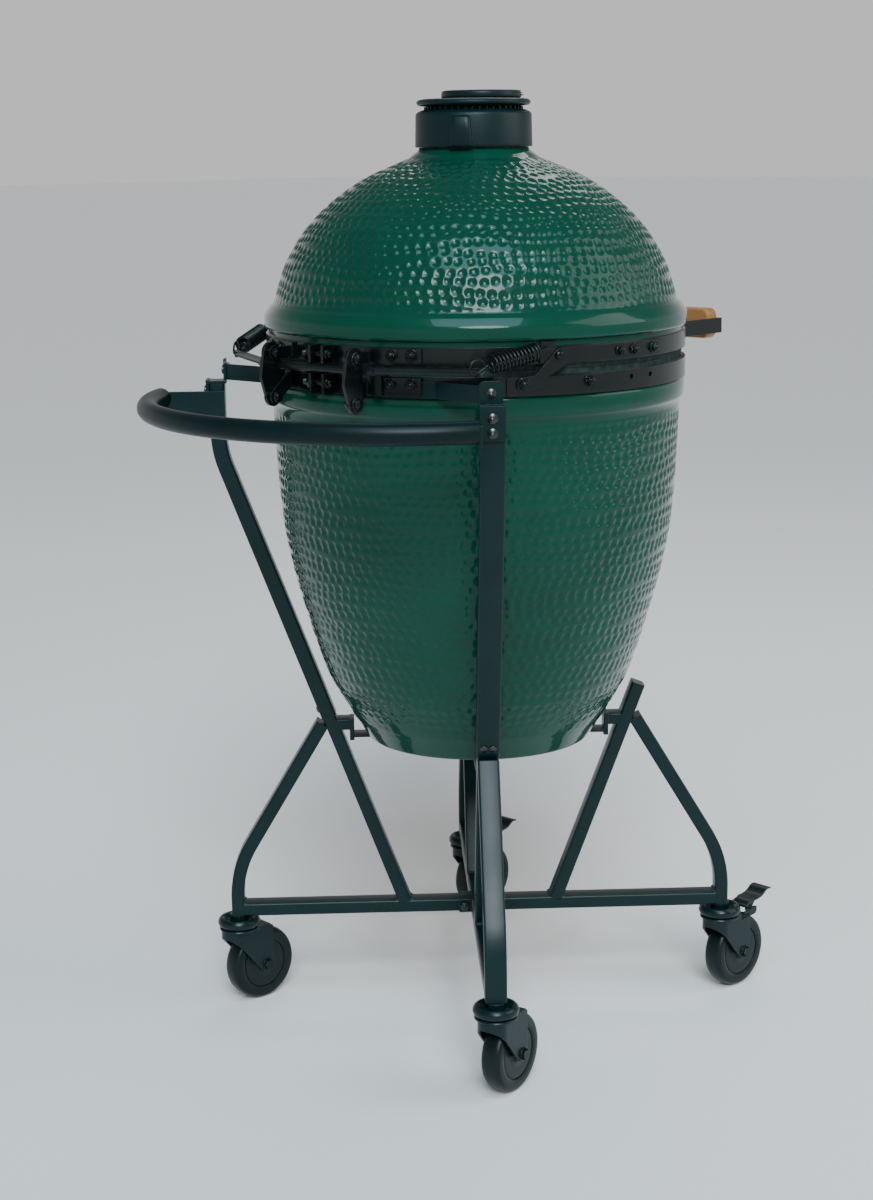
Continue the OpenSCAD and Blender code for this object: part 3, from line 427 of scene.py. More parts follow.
def hammered(line, strength, columns):
    """Rings of a turned skin with closely packed shallow bowls pressed into it.

    strength gives the share of the full depth at each point of the line."""
    s = np.r_[0, np.cumsum(np.linalg.norm(np.diff(line, axis=0), axis=1))]
    ahead = np.gradient(line, axis=0)
    ahead /= np.linalg.norm(ahead, axis=1)[:, None]
    out = np.stack([ahead[:, 1], -ahead[:, 0]], 1)
    phi = np.arange(columns) * 2 * math.pi / columns
    row_gap = PITCH * 0.866
    bowls = []
    for k in range(int(s[-1] / row_gap) + 1):
        at = (k + 0.5) * row_gap
        n = max(6, int(round(2 * math.pi * np.interp(at, s, line[:, 0]) / PITCH)))
        t = np.arange(n) * 2 * math.pi / n
        wave = 2.6 * np.sin(5 * t + rng.uniform(0, 6.3))
        wave = wave + 1.8 * np.sin(11 * t + rng.uniform(0, 6.3))
        bowls.append((at, n, rng.uniform(0, 2 * math.pi), wave + rng.uniform(-1.0, 1.0, n),
                      rng.uniform(-1.2, 1.2, n), rng.uniform(5.8, 6.9, n)))
    depth = np.zeros((len(line), columns))
    for i in range(len(line)):
        near = np.full(columns, 1.0)
        for at, n, start, ds, dt, size in bowls:
            if abs(at - s[i]) > 1.5 * PITCH:
                continue
            j = np.round((phi - start) / (2 * math.pi) * n).astype(int)
            for dj in (-1, 0, 1):
                k = (j + dj) % n
                away = (phi - start - (j + dj) * 2 * math.pi / n) * line[i, 0] - dt[k]
                near = np.minimum(near, (away ** 2 + (s[i] - at - ds[k]) ** 2) / size[k] ** 2)
        depth[i] = DEPTH * strength[i] * (1 - near) ** 1.35
    radius = line[:, :1] - out[:, :1] * depth
    height = line[:, 1:] - out[:, 1:] * depth
    return np.stack([radius * np.cos(phi), radius * np.sin(phi), height], -1)


def plain_rings(line, columns):
    line = np.asarray(line, float)
    phi = np.arange(columns) * 2 * math.pi / columns
    return np.stack([line[:, :1] * np.cos(phi), line[:, :1] * np.sin(phi),
                     np.repeat(line[:, 1:], columns, 1)], -1)


def ramp_up(x, a, b):
    t = np.clip((x - a) / (b - a), 0, 1)
    return t * t * (3 - 2 * t)


MESH_STEP, COLUMNS = ((1.7, 960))


def dome():
    line = outer_line("ceramic_dome")
    z = line[:, 1]
    glazed = smooth_line(line[(z > 943) & (z < 1132)], MESH_STEP)
    share = ramp_up(glazed[:, 1], 945, 960) * (1 - ramp_up(glazed[:, 1], 1112, 1128))
    lip = [[264.4, 888], [264.4, 914.6], [266.6, 915.2], [268.6, 916.2], [269.7, 918],
           [270, 920.4], [270, 929], [269.6, 932], [268.4, 934.6], [266, 938.4],
           [263.4, 942.2]]
    neck = [[72.4, 1132.4], [70.8, 1133.8], [69.9, 1135.2], [66, 1135.4], [66, 1163.4],
            [65.4, 1164.6], [64, 1165], [54, 1165], [52.4, 1164.2], [52, 1162.6], [54, 1110]]
    inner = [[74, 1102], [98, 1093], [125, 1081], [150, 1067], [172, 1050], [190, 1032],
             [205, 1014], [218, 992], [227, 969], [232, 948], [240, 888]]
    rings = np.concatenate([plain_rings(lip, COLUMNS), hammered(glazed, share, COLUMNS),
                            plain_rings(neck + inner, COLUMNS)])
    points, faces = rings_skin(rings, closed=True)
    piece = solid("dome_glazed", points, faces, None, "glaze", sharp=180)
    for low, radius, n in ((-60, 5, 32), (0.4, 13, 48)):
        points, faces = rod_skin((0, 0, low), (0, 0, 40), radius, n)
        cut(piece, [(moved(points, DIAL_SEAT), faces)])
    return dress(piece, "lid", "glaze", ["ceramic_dome"], sharp=50)


def wall_r(z):
    """Radius of the cone that the wall is close to round the draft opening."""
    return 168 + 0.53 * (z - 409)


def base():
    line = outer_line("ceramic_base")
    z = line[:, 1]
    glazed = smooth_line(line[(z > 376) & (z < 817)], MESH_STEP)
    z = glazed[:, 1]
    share = ramp_up(z, 385, 470) * (1 - ramp_up(z, 800, 814)) * (0.55 + 0.45 * ramp_up(z, 430, 640))
    foot = [[30, 376.4], [120, 376.4], [141, 376.5], [145, 377]]
    lip = [[262.6, 822.5], [264.4, 824.4], [266.2, 826.6], [267, 829], [267, 846.6],
           [266.4, 848.6], [264.8, 850], [264.4, 851], [264.4, 875.5]]
    inner = [[239, 875.5], [238, 840], [236, 800], [234, 740], [228, 680], [220, 632],
             [206, 580], [190, 530], [176, 492], [158, 452], [140, 424], [118, 402], [30, 402]]
    rings = np.concatenate([plain_rings(foot, COLUMNS), hammered(glazed, share, COLUMNS),
                            plain_rings(lip + inner, COLUMNS)])
    points, faces = rings_skin(rings, caps=True)
    piece = solid("base_glazed", points, faces, None, "glaze", sharp=180)
    mouth = box_skin((-24, -230, 420), (24, -92, 466))
    holes = [mouth]
    for x in (-262, 262):
        for y in (-18.5, 18.5):
            reach = 8 * np.sign(x)
            holes.append(rod_skin((x - reach, y, 866), (x + reach, y, 866), 4.5, 32))
    cut(piece, holes)
    dress(piece, "nest", "glaze", ["ceramic_base"], sharp=50)
    around = ((404, -10), (404, 1.6), (405.4, 3), (480.6, 3), (482, 1.6), (482, -10))
    rings = [[[(wall_r(z) + out) * math.sin(a), -(wall_r(z) + out) * math.cos(a), z]
              for z, out in around] for a in np.radians(np.linspace(-28, 28, 57))]
    points, faces = rings_skin(np.array(rings))
    pad = solid("draft_pad", points, faces, None, "glaze", sharp=180)
    cut(pad, [mouth])
    dress(pad, "nest", "glaze", [], sharp=50)
    return piece


# ---------------------------------------------------------------- nest
TUBE_W, TUBE_T, FRAME_Z, LEG_R = 27.0, 17.4, 126.0, 336.0
LEG_C = LEG_R - TUBE_T / 2
JUNCTION = np.array([197.5, 397.0])
BRACE = np.array([math.sin(math.radians(20.5)), math.cos(math.radians(20.5))])
LEG = np.array([-math.sin(math.radians(30.9)), math.cos(math.radians(30.9))])
CORNER = 2.6
TUBE = rounded(TUBE_T, TUBE_W, CORNER)


def leg_line():
    bend = arc((LEG_C - 141, 152.7), 141, 0, 30.9, 15)
    end = bend[-1] + LEG * (391 - bend[-1, 1]) / LEG[1]
    return np.vstack([[[LEG_C, FRAME_Z]], bend, [end]])


def arm_up(angle):
    a = math.radians(angle)
    return (-math.sin(a), math.cos(a), 0)


def weld(shape, path, size=2.4):
    """A lumpy weld bead along a path."""
    path = resample(path, 1.1)
    lumps = size * (0.8 + 0.28 * np.abs(np.sin(np.arange(len(path)) * 1.35)))
    shape.add(*sweep(path, disc(1.0, 8), (0.31, 0.52, 0.79), scale=lumps))


def half_frame(shape, angle, inner_end):
    up = arm_up(angle)
    bar_top = FRAME_Z + TUBE_T
    foot = JUNCTION - BRACE * (JUNCTION[1] - bar_top + 3) / BRACE[1]
    for flat in (leg_line(), [foot, JUNCTION + BRACE * 43]):
        shape.add(*sweep(in_arm(flat, angle), TUBE, up))
    bar = in_arm([[inner_end, FRAME_Z + TUBE_T / 2], [LEG_R - TUBE_T + 0.6, FRAME_Z + TUBE_T / 2]],
                 angle)
    shape.add(*sweep(bar, rounded(TUBE_T, TUBE_W, CORNER), up))
    tab = rounded(6, TUBE_W, 0.8)
    shape.add(*sweep(in_arm([[169, 368.8], [169, 398]], angle), tab, up))
    stub = in_arm([[168, 390.2], [JUNCTION[0] + 2, 390.2]], angle)
    shape.add(*sweep(stub, rounded(15, TUBE_W - 1, 2), up))
    a = math.radians(angle)
    across = np.array([-math.sin(a), math.cos(a), 0]) * (TUBE_W / 2 - 1.5)
    brace_s = foot[0]
    for at in (brace_s - 7.8, brace_s + 10.6, LEG_R - TUBE_T - 0.2):
        row = in_arm([[at, bar_top + 0.3]], angle)
        weld(shape, np.vstack([row - across, row + across]), 1.9)


def plate(shape, angle, low, high, corner=0.8):
    """A flat bar lying along an arm, from low to high in (radius, height)."""
    middle = (low[1] + high[1]) / 2
    path = in_arm([[low[0], middle], [high[0], middle]], angle)
    shape.add(*sweep(path, rounded(high[1] - low[1], TUBE_W, corner), arm_up(angle)))


def nest():
    a, b = Shape(), Shape()
    for angle in (45, 225):
        half_frame(a, angle, -1)
    plate(a, 45, (-172, 372.6), (172, 376.2))
    for angle in (135, 315):
        half_frame(b, angle, TUBE_W / 2 + 0.2)
        ear = [[TUBE_W / 2 + 0.2, FRAME_Z + TUBE_T / 2], [TUBE_W / 2 + 4.2, FRAME_Z + TUBE_T / 2]]
        b.add(*sweep(in_arm(ear, angle), rounded(TUBE_T, TUBE_W + 32, 2), arm_up(angle)))
    plate(b, 135, (-172, 368.6), (172, 372.2))
    a.piece("nest_frame_a_tubes", "nest", "nest_steel", ["nest_frame_a"])
    b.piece("nest_frame_b_tubes", "nest", "nest_steel", ["nest_frame_b"])


def upright(name, angle):
    """A bent tube, open at its foot, where it slips over the stub of the frame."""
    tilt = math.radians(20.5)
    knee_z = 397 + (332.5 - 197.5) / math.tan(tilt)
    reach = 130 * math.tan(tilt / 2)
    t = np.linspace(tilt, 0, 14)
    knee = np.stack([332.5 - 130 * (1 - np.cos(t)), knee_z + reach - 130 * np.sin(t)], 1)
    foot = JUNCTION + BRACE * (401 - JUNCTION[1]) / BRACE[1]
    path = in_arm(np.vstack([[foot], knee, [[332.5, 845]]]), angle)
    skins = []
    for wall, radius in ((0, 3.0), (1.1, 2.0)):
        section = rounded(TUBE_T + 2.4 - 2 * wall, TUBE_W + 2.6 - 2 * wall, radius)
        points, _ = sweep(path - [0, 0, 1e-3], section, arm_up(angle))
        skins.append(points.reshape(len(path), -1, 3))
    skins[1][-1] -= (0, 0, 2)
    points, faces = rings_skin(np.concatenate([skins[1][::-1], skins[0]]))
    return solid(name + "_tube", points, faces, "nest", "nest_steel", [name])


BOW_R, BOW_Y, BOW_Z = 320, 131, 828.4


def push_handle():
    """A bent tube whose two ends are cut flat against the wing plates."""
    wall = TUBE_W / 2 + 1.3 + 0.2 + 4 + 0.2
    tilt = [np.array([-1, 1, 0]) * 0.70711, np.array([1, 1, 0]) * 0.70711]
    turns = np.arange(50, 70, 0.01)
    at = np.radians(turns)
    ends = np.stack([BOW_R * np.sin(at), BOW_Y + BOW_R * np.cos(at), 0 * at], 1)
    half = turns[ends @ tilt[0] > wall].max()
    n = 150
    t = np.radians(np.r_[90 - half, np.linspace(90 - half + 1.6, 90 + half - 1.6, n), 90 + half])
    path = np.stack([BOW_R * np.cos(t), BOW_Y + BOW_R * np.sin(t),
                     np.full(len(t), BOW_Z)], 1)
    ahead = np.stack([-np.sin(t), np.cos(t), 0 * t], 1)
    skins = []
    for radius in (12.98, 11.2):
        points, _ = sweep(path, disc(radius, 48), (0, 0, 1))
        skin = points.reshape(len(path), -1, 3)
        for end in (0, -1):
            normal = tilt[end]
            skin[end] += ahead[end] * ((wall - skin[end] @ normal) / (ahead[end] @ normal))[:, None]
        skins.append(skin)
    points, faces = rings_skin(np.concatenate([skins[0], skins[1][::-1]]), closed=True)
    solid("push_handle_tube", points, faces, "nest", "handle_steel", ["push_handle"], sharp=50)


# ---------------------------------------------------------------- casters
ARMS = (45, 135, 225, 315)
YAWS = (-5, 10, -3, 0)
TRAIL, WHEEL_R = 32.0, 50.0


def at_caster(i):
    return spin(ARMS[i]) @ place(LEG_C, 0, 0) @ spin(YAWS[i] - ARMS[i])


def wheel(i, letter):
    turn = at_caster(i) @ place(0, -TRAIL, WHEEL_R) @ spin(90, "Y")
    n = 128
    tread = [[38, -13.4], [43.5, -13.4], [45.6, -13.0], [47.4, -11.7], [48.8, -9.4],
             [49.6, -6.4], [49.99, -3], [49.99, 3], [49.6, 6.4], [48.8, 9.4], [47.4, 11.7],
             [45.6, 13.0], [43.5, 13.4], [38, 13.4]]
    points, faces = lathe(tread, n)
    solid("tyre_%s_round" % letter, moved(points, turn), faces, "wheel_" + letter,
          "wheel_tread", ["tyre_" + letter])
    side = [[5.3, 15], [10.5, 15], [11.6, 14.4], [12.2, 12.6], [14, 11.6], [22, 11.4],
            [31.6, 12.2], [32.4, 12.0], [32.6, 10.8], [33.6, 10.8], [33.8, 12.4], [34.6, 13.0],
            [38, 13.3]]
    ring = side[::-1] + [[r, -z] for r, z in side]
    points, faces = lathe(ring, n)
    solid("hub_%s_disc" % letter, moved(points, turn), [f[::-1] for f in faces],
          "wheel_" + letter, "wheel_hub", ["hub_" + letter])


def wall(shape, plan, low, high, thick, turn):
    """A bent sheet standing on edge: its lower and upper edges follow given heights."""
    plan = np.asarray(plan, float)
    ahead = np.gradient(plan, axis=0)
    ahead /= np.linalg.norm(ahead, axis=1)[:, None]
    out = np.stack([ahead[:, 1], -ahead[:, 0]], 1) * thick / 2
    rings = np.stack([np.c_[plan - out, low], np.c_[plan + out, low],
                      np.c_[plan + out, high], np.c_[plan - out, high]], 1)
    points, faces = rings_skin(rings)
    shape.add(moved(points, turn), [f[::-1] for f in faces])


RACE_Z = 109.0


def fork(i, letter, braked):
    """Pressed cheeks run round the front in one sheet under a dished top."""
    turn = at_caster(i)
    shape = Shape()
    bend = arc((0, 5.9), 18.1, 180, 0, 25)
    plan = resample(np.vstack([[[-18.1, -41.9]], bend, [[18.1, -41.9]]]), 1.2)
    y = plan[:, 1]
    tip = 50 - np.sqrt(np.maximum(0, 100 - (np.clip(y, -42, -24) + 32) ** 2))
    rise = ramp_up(y, -27, 25)
    slant = 0.45 * rise + 0.55 * np.clip((y + 24) / 48, 0, 1)
    low = np.where(y < -24, tip, 44 + (95 - 44) * slant)
    wall(shape, plan, low, np.full(len(plan), RACE_Z - 4.8), 3, turn)
    cup = [[14, RACE_Z - 5], [24.5, RACE_Z - 5], [26.4, RACE_Z - 3.9], [26.8, RACE_Z - 2.6],
           [26.0, RACE_Z - 1.2], [24.0, RACE_Z - 0.7], [14, RACE_Z - 0.7]]
    points, faces = lathe(cup, 96)
    shape.add(moved(points, turn), faces)
    back = -38 if not braked else -30
    tray = box_skin((-19.6, back, RACE_Z - 5), (19.6, 2, RACE_Z - 2))
    shape.add(moved(tray[0], turn), tray[1])
    if braked:
        for x in (-19.6, 16.6):
            lug = [[-24, 97], [-54, 99.5], [-57, 103], [-57, 109.4], [-52, 110], [-40, 107],
                   [-24, 107]]
            ear = [np.array([[x0, y0, z0] for y0, z0 in lug]) for x0 in (x, x + 3)]
            points, faces = rings_skin(np.stack(ear))
            shape.add(moved(points, turn), [f[::-1] for f in faces])
    shape.piece("fork_%s_pressed" % letter, "caster_" + letter, "caster_steel",
                ["fork_" + letter], sharp=40)
    bolt = Shape()
    for side in (-1, 1):
        at = turn @ place(0, -TRAIL, WHEEL_R)
        stack(bolt, at, (side, 0, 0), [("round", 19.7, 20.9, 8.4), ("hex", 20.9, 24.6, 7.2)])
    stack(bolt, turn @ place(0, -TRAIL, WHEEL_R), (1, 0, 0), [("round", -15, 15, 4.9),
                                                            ("thread", 24.6, 25.5, 4.4)])
    bolt.piece("axle_%s_bolt" % letter, "caster_" + letter, "bolt_black", ["axle_" + letter])


def stack(shape, frame_at, along, parts):
    """Washers, nuts, heads and studs one after another along a line."""
    along = np.asarray(along, float)
    along /= np.linalg.norm(along)
    up = (0, 0, 1) if abs(along[2]) < 0.9 else (0, 1, 0)
    for kind, start, end, radius in parts:
        if kind == "hex":
            section, steps = disc(radius, 6), [(0, 0.95), (0.5, 1), (-0.7, 1), (0, 0.9)]
        elif kind == "thread":
            section, steps = disc(radius, 20), [(0, 1), (-0.5, 1), (0, 0.8)]
        elif kind == "dome":
            section = disc(radius, 28)
            steps = [(0, 1), (0.5, 1), (-1.6, 0.93), (-0.5, 0.7), (0, 0.42)]
        else:
            section, steps = disc(radius, 32), [(0, 0.97), (0.3, 1), (-0.4, 1), (0, 0.94)]
        heights = [start + h if h > 0 or k == 0 else end + h for k, (h, _) in enumerate(steps)]
        path = np.outer(heights, along)
        points, faces = sweep(path, section, up, scale=[w for _, w in steps])
        shape.add(moved(points, frame_at), faces)
        if kind == "thread":
            for h in np.arange(start + 0.5, end - 0.8, 1.1):
                ridge = sweep(np.outer([h, h + 0.35, h + 0.7], along), disc(radius, 20), up,
                              scale=[0.98, 1.09, 0.98])
                shape.add(moved(ridge[0], frame_at), ridge[1])


def races():
    shape = Shape()
    ring = [[12, 7], [17, 7.4], [18.6, 9.4], [20.4, 12], [22.6, 13], [25.4, 12.4], [27.6, 10],
            [28.5, 7.2], [28.3, 4.2], [27, 1.8], [24.6, 0.3], [15, 0], [15, 4.3], [12, 4.3]]
    for i in range(4):
        turn = at_caster(i) @ place(0, 0, RACE_Z)
        points, faces = lathe(ring[::-1], 96)
        shape.add(moved(points, turn), faces)
        stack(shape, turn, (0, 0, 1), [("round", 4.4, 16.7, 12.4), ("round", 8, 52, 7)])
    shape.piece("caster_races", "nest", "caster_steel", ["caster_stems"])


def pedal(i, letter):
    turn = at_caster(i)
    line = [[-45, 109.6], [-50, 113.6], [-56, 115.6], [-66, 116.2], [-74, 117.6], [-80, 120.4],
            [-84, 123.4], [-88, 125.0], [-92, 125.2], [-95.6, 124.2]]
    line = smooth_line(np.array(line), 1.5)
    shape = Shape()
    width = 13.8 - 3.0 * (1 - ramp_up(-line[:, 0], 45, 60))
    rings = []
    ahead = np.gradient(line, axis=0)
    ahead /= np.linalg.norm(ahead, axis=1)[:, None]
    for (y, z), (ty, tz), w in zip(line, ahead, width):
        ny, nz = -tz * 1.1, ty * 1.1
        under, over = (y - ny, z - nz), (y + ny, z + nz)
        rings.append([[-w, *under], [w, *under], [w, *over], [-w, *over]])
    points, faces = rings_skin(np.array(rings))
    shape.add(moved(points, turn), faces)
    pin = rod_skin((-16.2, -45, 109), (16.2, -45, 109), 2.1, 20)
    shape.add(moved(pin[0], turn), pin[1])
    for x in (-13.6, 11.4):
        cheek = [[-41, 105], [-41, 111], [-50, 114.4], [-60, 114.8], [-54, 107]]
        ends = [np.array([[x0, y0, z0] for y0, z0 in cheek]) for x0 in (x, x + 2.2)]
        points, faces = rings_skin(np.stack(ends))
        shape.add(moved(points, turn), faces)
    shape.piece("brake_pedal_%s_plate" % letter, "pedal_" + letter, "pedal",
                ["brake_pedal_" + letter], sharp=50)


# ---------------------------------------------------------------- springs
def helix_between(a, b, radius, wire, turns, lead):
    """Centre line of a coil from a to b, with straight leads at both ends."""
    a, b = np.array(a, float), np.array(b, float)
    axis = (b - a) / np.linalg.norm(b - a)
    side = np.cross((0, 0, 1), axis)
    side /= np.linalg.norm(side)
    top = np.cross(axis, side)
    n = turns * 28
    t = np.linspace(0, 1, n)
    grow = np.minimum(1, np.minimum(t, 1 - t) * turns / 0.8)
    length = np.linalg.norm(b - a)
    along = lead[0] + (length - sum(lead)) * t
    angle = t * turns * 2 * math.pi
    coil = (a + along[:, None] * axis + (radius * grow)[:, None]
            * (np.cos(angle)[:, None] * side + np.sin(angle)[:, None] * top))
    return coil, axis, side, top


def springs():
    for name, s in (("left", 1), ("right", -1)):
        start = np.array([s * 207.6, 221.0, 890.0])
        end = np.array([s * 241.5, 139.0, 908.0])
        coil, axis, side, top = helix_between(start, end, 9.9, 1.4, 14, (9, 14.5))
        t = np.radians(np.linspace(200, -130, 18))
        loop = start - 5.5 * axis + 9.6 * (np.cos(t)[:, None] * axis + np.sin(t)[:, None] * top)
        hook = np.array([coil[-1] + axis * 3, end - axis * 4.5, end + axis * 1.5 - top * 1.0])
        path = resample(np.vstack([loop, coil, hook]), 1.2)
        shape = Shape()
        shape.add(*sweep(path, disc(1.35, 12), axis + 0.013 * side))
        piece = shape.piece("spring_" + name, None, "spring_steel", sharp=60)
        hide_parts("springs")
        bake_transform(piece)


# ---------------------------------------------------------------- lid fittings
def wood_handle():
    """A turned-edge board: the outline shrinks towards both faces."""
    rings = []
    for y, inset in ((-317, 3.2), (-317.3, 2.0), (-318.2, 0.9), (-320.2, 0), (-335.8, 0),
                     (-337.8, 0.9), (-338.7, 2.0), (-339, 3.2)):
        flat = rounded(272 - 2 * inset, 40 - 2 * inset, 9 - inset * 0.6, 9)
        rings.append(np.stack([flat[:, 0], np.full(len(flat), y), flat[:, 1] + 900], 1))
    points, faces = rings_skin(rings)
    solid("wood_handle_board", points, faces, "lid", "timber", ["wood_handle"], sharp=50)


def cooking_grid():
    shape = Shape()
    t = np.radians(np.arange(0, 360, 3))
    hoop = np.stack([224.4 * np.cos(t), 224.4 * np.sin(t), np.full(len(t), 804.2)], 1)
    shape.add(*sweep(hoop, disc(3.5, 10), (0, 0, 1), closed=True))
    for k in range(-13, 14):
        y = 16 * k
        x = math.sqrt(224.0 ** 2 - y * y)
        shape.add(*rod_skin((-x, y, 805.2), (x, y, 805.2), 1.9, 10))
    for x in (-110, 110):
        y = math.sqrt(224.0 ** 2 - x * x)
        shape.add(*rod_skin((x, -y, 802.4), (x, y, 802.4), 1.9, 10))
    shape.piece("cooking_grid_rods", "nest", "grid_steel", ["cooking_grid"])


def thermometer():
    tilt = DIAL_SEAT
    shape = Shape()
    bezel = [[0, 4.4], [25.6, 4.4], [26.6, 4.9], [27, 6], [27, 14.4], [26.6, 15.8], [25.6, 16.4],
             [24.8, 16.2], [24.4, 15.4], [24.4, 13.4], [0, 13.4]]
    points, faces = lathe(np.array(bezel)[1:-1], 96, closed=True)
    shape.add(moved(points, tilt), faces)
    for low, high, r, n in ((-88, 4, 2.6, 24), (0.6, 5.6, 10, 6), (-33, -28, 9, 6)):
        rod = rod_skin((0, 0, low), (0, 0, high), r, n)
        shape.add(moved(rod[0], tilt), rod[1])
    shape.piece("thermometer_case", "lid", "stainless", ["thermometer"])
    dial = Shape()
    face = rod_skin((0, 0, 13.2), (0, 0, 13.7), 24.3, 64)
    dial.add(moved(face[0], tilt), face[1])
    dial.piece("thermometer_dial", "lid", "stainless").data.materials[0] = DIAL
    marks = Shape()
    for k in range(41):
        long = k % 5 == 0
        bar = box_skin((-0.35 if long else -0.2, 17.2 if long else 19, 13.6),
                       (0.35 if long else 0.2, 22, 13.9))
        marks.add(moved(bar[0], tilt @ spin(135 - 270 * k / 40)), bar[1])
    needle = [[-0.9, -5, 14.2], [0.9, -5, 14.2], [0.25, 18, 14.2], [-0.25, 18, 14.2],
              [-0.9, -5, 14.7], [0.9, -5, 14.7], [0.25, 18, 14.7], [-0.25, 18, 14.7]]
    marks.add(moved(needle, tilt @ spin(118)), box_skin((0, 0, 0), (1, 1, 1))[1])
    pin = rod_skin((0, 0, 13.6), (0, 0, 15.2), 2.2, 24)
    marks.add(moved(pin[0], tilt), pin[1])
    marks.piece("thermometer_marks", "lid", "wheel_hub")


PIN = (37.84, 37.84)


def cap():
    outer = [[67, 1137.2], [73.4, 1137.2], [74, 1138], [74, 1141], [73.2, 1176.5], [72.6, 1178.6],
             [70.6, 1180.4], [66, 1182.6], [62, 1183.4], [60.4, 1184.4], [59.6, 1187.2],
             [50, 1187.2], [50, 1168], [66.2, 1168], [66.2, 1140]]
    points, faces = lathe(outer, 144)
    shape = Shape()
    shape.add(points, faces)
    lug = []
    for z, half, out in ((1138.2, 14.6, 79.6), (1141, 14.4, 81), (1158, 12.8, 80.8),
                         (1172.5, 11.6, 80.2), (1175.2, 11, 77.6), (1176, 10, 72)):
        edge = [(66, -half), (out - 4.6, -half), (out - 2, -half + 0.9), (out - 0.5, -half + 2.8),
                (out, -half + 5.4)]
        lug.append([[x, y, z] for x, y in edge] + [[x, -y, z] for x, y in edge[::-1]])
    points, faces = rings_skin(np.array(lug))
    shape.add(moved(points, spin(120)), faces)
    for k in range(44):
        tooth = box_skin((58, -1.1, 1183), (62.4, 1.1, 1186.8))
        shape.add(moved(tooth[0], spin(360 / 44 * k)), tooth[1])
    collar = shape.piece("cap_collar_cast", None, "vent_iron", sharp=180)
    cut(collar, [rod_skin((*PIN, 1170), (*PIN, 1200), 3.3, 32)])
    dress(collar, "lid", "vent_iron", ["cap_collar"], sharp=45)


CLAMP_Y, STRAP_A = 277, 143.5


def radial_stack(shape, a, z, parts):
    """A stack on a radius, at the angle a from +Y towards +X and its mirror twin."""
    for side in (-1, 1):
        t = math.radians(a) * side
        stack(shape, place(0, 0, z), (math.sin(t), math.cos(t), 0), parts)


def nut(start, tail=3.2, size=6.3):
    """Washer, nut and the end of the stud; the stud runs back into the band."""
    return [("round", start, start + 1.2, size + 1.4), ("hex", start + 1.2, start + 5.6, size),
            ("thread", start + 5.6, start + 5.6 + tail, 3.3), ("round", 265, start + 1, 3.1)]


def bolts():
    low, high = Shape(), Shape()
    for a in (20.7, 25.9):
        radial_stack(low, a, 866, nut(276.1))
        radial_stack(high, a, 900, nut(272.2))
    radial_stack(low, 53.6, 866, nut(276.4, 2.2))
    radial_stack(low, 71.5, 866, nut(272.2, 2.6))
    radial_stack(low, 62.6, 898.6, [("round", 272.9, 277, 3.1), ("dome", 276.4, 280, 5.6)])
    for a in (81, 86, 93.7):
        radial_stack(high, a, 899, nut(272.2, 2.2, 5.6))
    radial_stack(high, STRAP_A, 897, nut(272.2, 2.2, 5.6))
    for s in (-1, 1):
        post = place(70 * s, -344.2, 897)
        stack(high, post, (0, 1, 0), [("round", 0, 16, 3)])
        head = lathe([[0.4, -344.8], [4.6, -344.6], [6, -343.8], [6, -342.9], [0.4, -342.9]], 40)
        turned = np.c_[head[0][:, 0], head[0][:, 2], head[0][:, 1]]
        high.add(moved(turned, place(70 * s, 0, 897)), head[1])
    for shape, z in ((low, 864), (high, 898)):
        stack(shape, place(0, CLAMP_Y, z), (-1, 0, 0),
              [("round", -20, 20, 3.9), ("dome", 12.8, 17, 7.6), ("round", -14, -12.8, 8.6),
               ("hex", -19.6, -14, 7.4)])
        stack(shape, place(0, CLAMP_Y, z), (1, 0, 0), [("thread", 19.6, 28, 4)])
    low.piece("lower_band_nuts", "nest", "bolt_black", ["lower_band_bolts"], sharp=40)
    high.piece("upper_band_nuts", "lid", "bolt_black", ["upper_band_bolts"], sharp=40)
    pins = Shape()
    for z in (897, 844):
        for s in (-1, 1):
            stack(pins, place(0, 291, z), (s, 0, 0),
                  [("round", 58, 72.8, 3.95), ("hex", 59.2, 63.6, 7.2), ("round", 73.2, 74.4, 8.2),
                   ("dome", 74.4, 79.2, 6.4)])
    pins.piece("hinge_pin_stacks", "nest", "bolt_black", ["hinge_pins"], sharp=40)


VENT = place(-7, -7, 0)
DISC_Z = 1187.6


def petals(first):
    """Five round ports through the disc or the cover, as cutters."""
    port = rod_skin((27, 0, DISC_Z - 6), (27, 0, DISC_Z + 40), 9.5, 40)
    return [(moved(port[0], VENT @ spin(first + 72 * k)), port[1]) for k in range(5)]


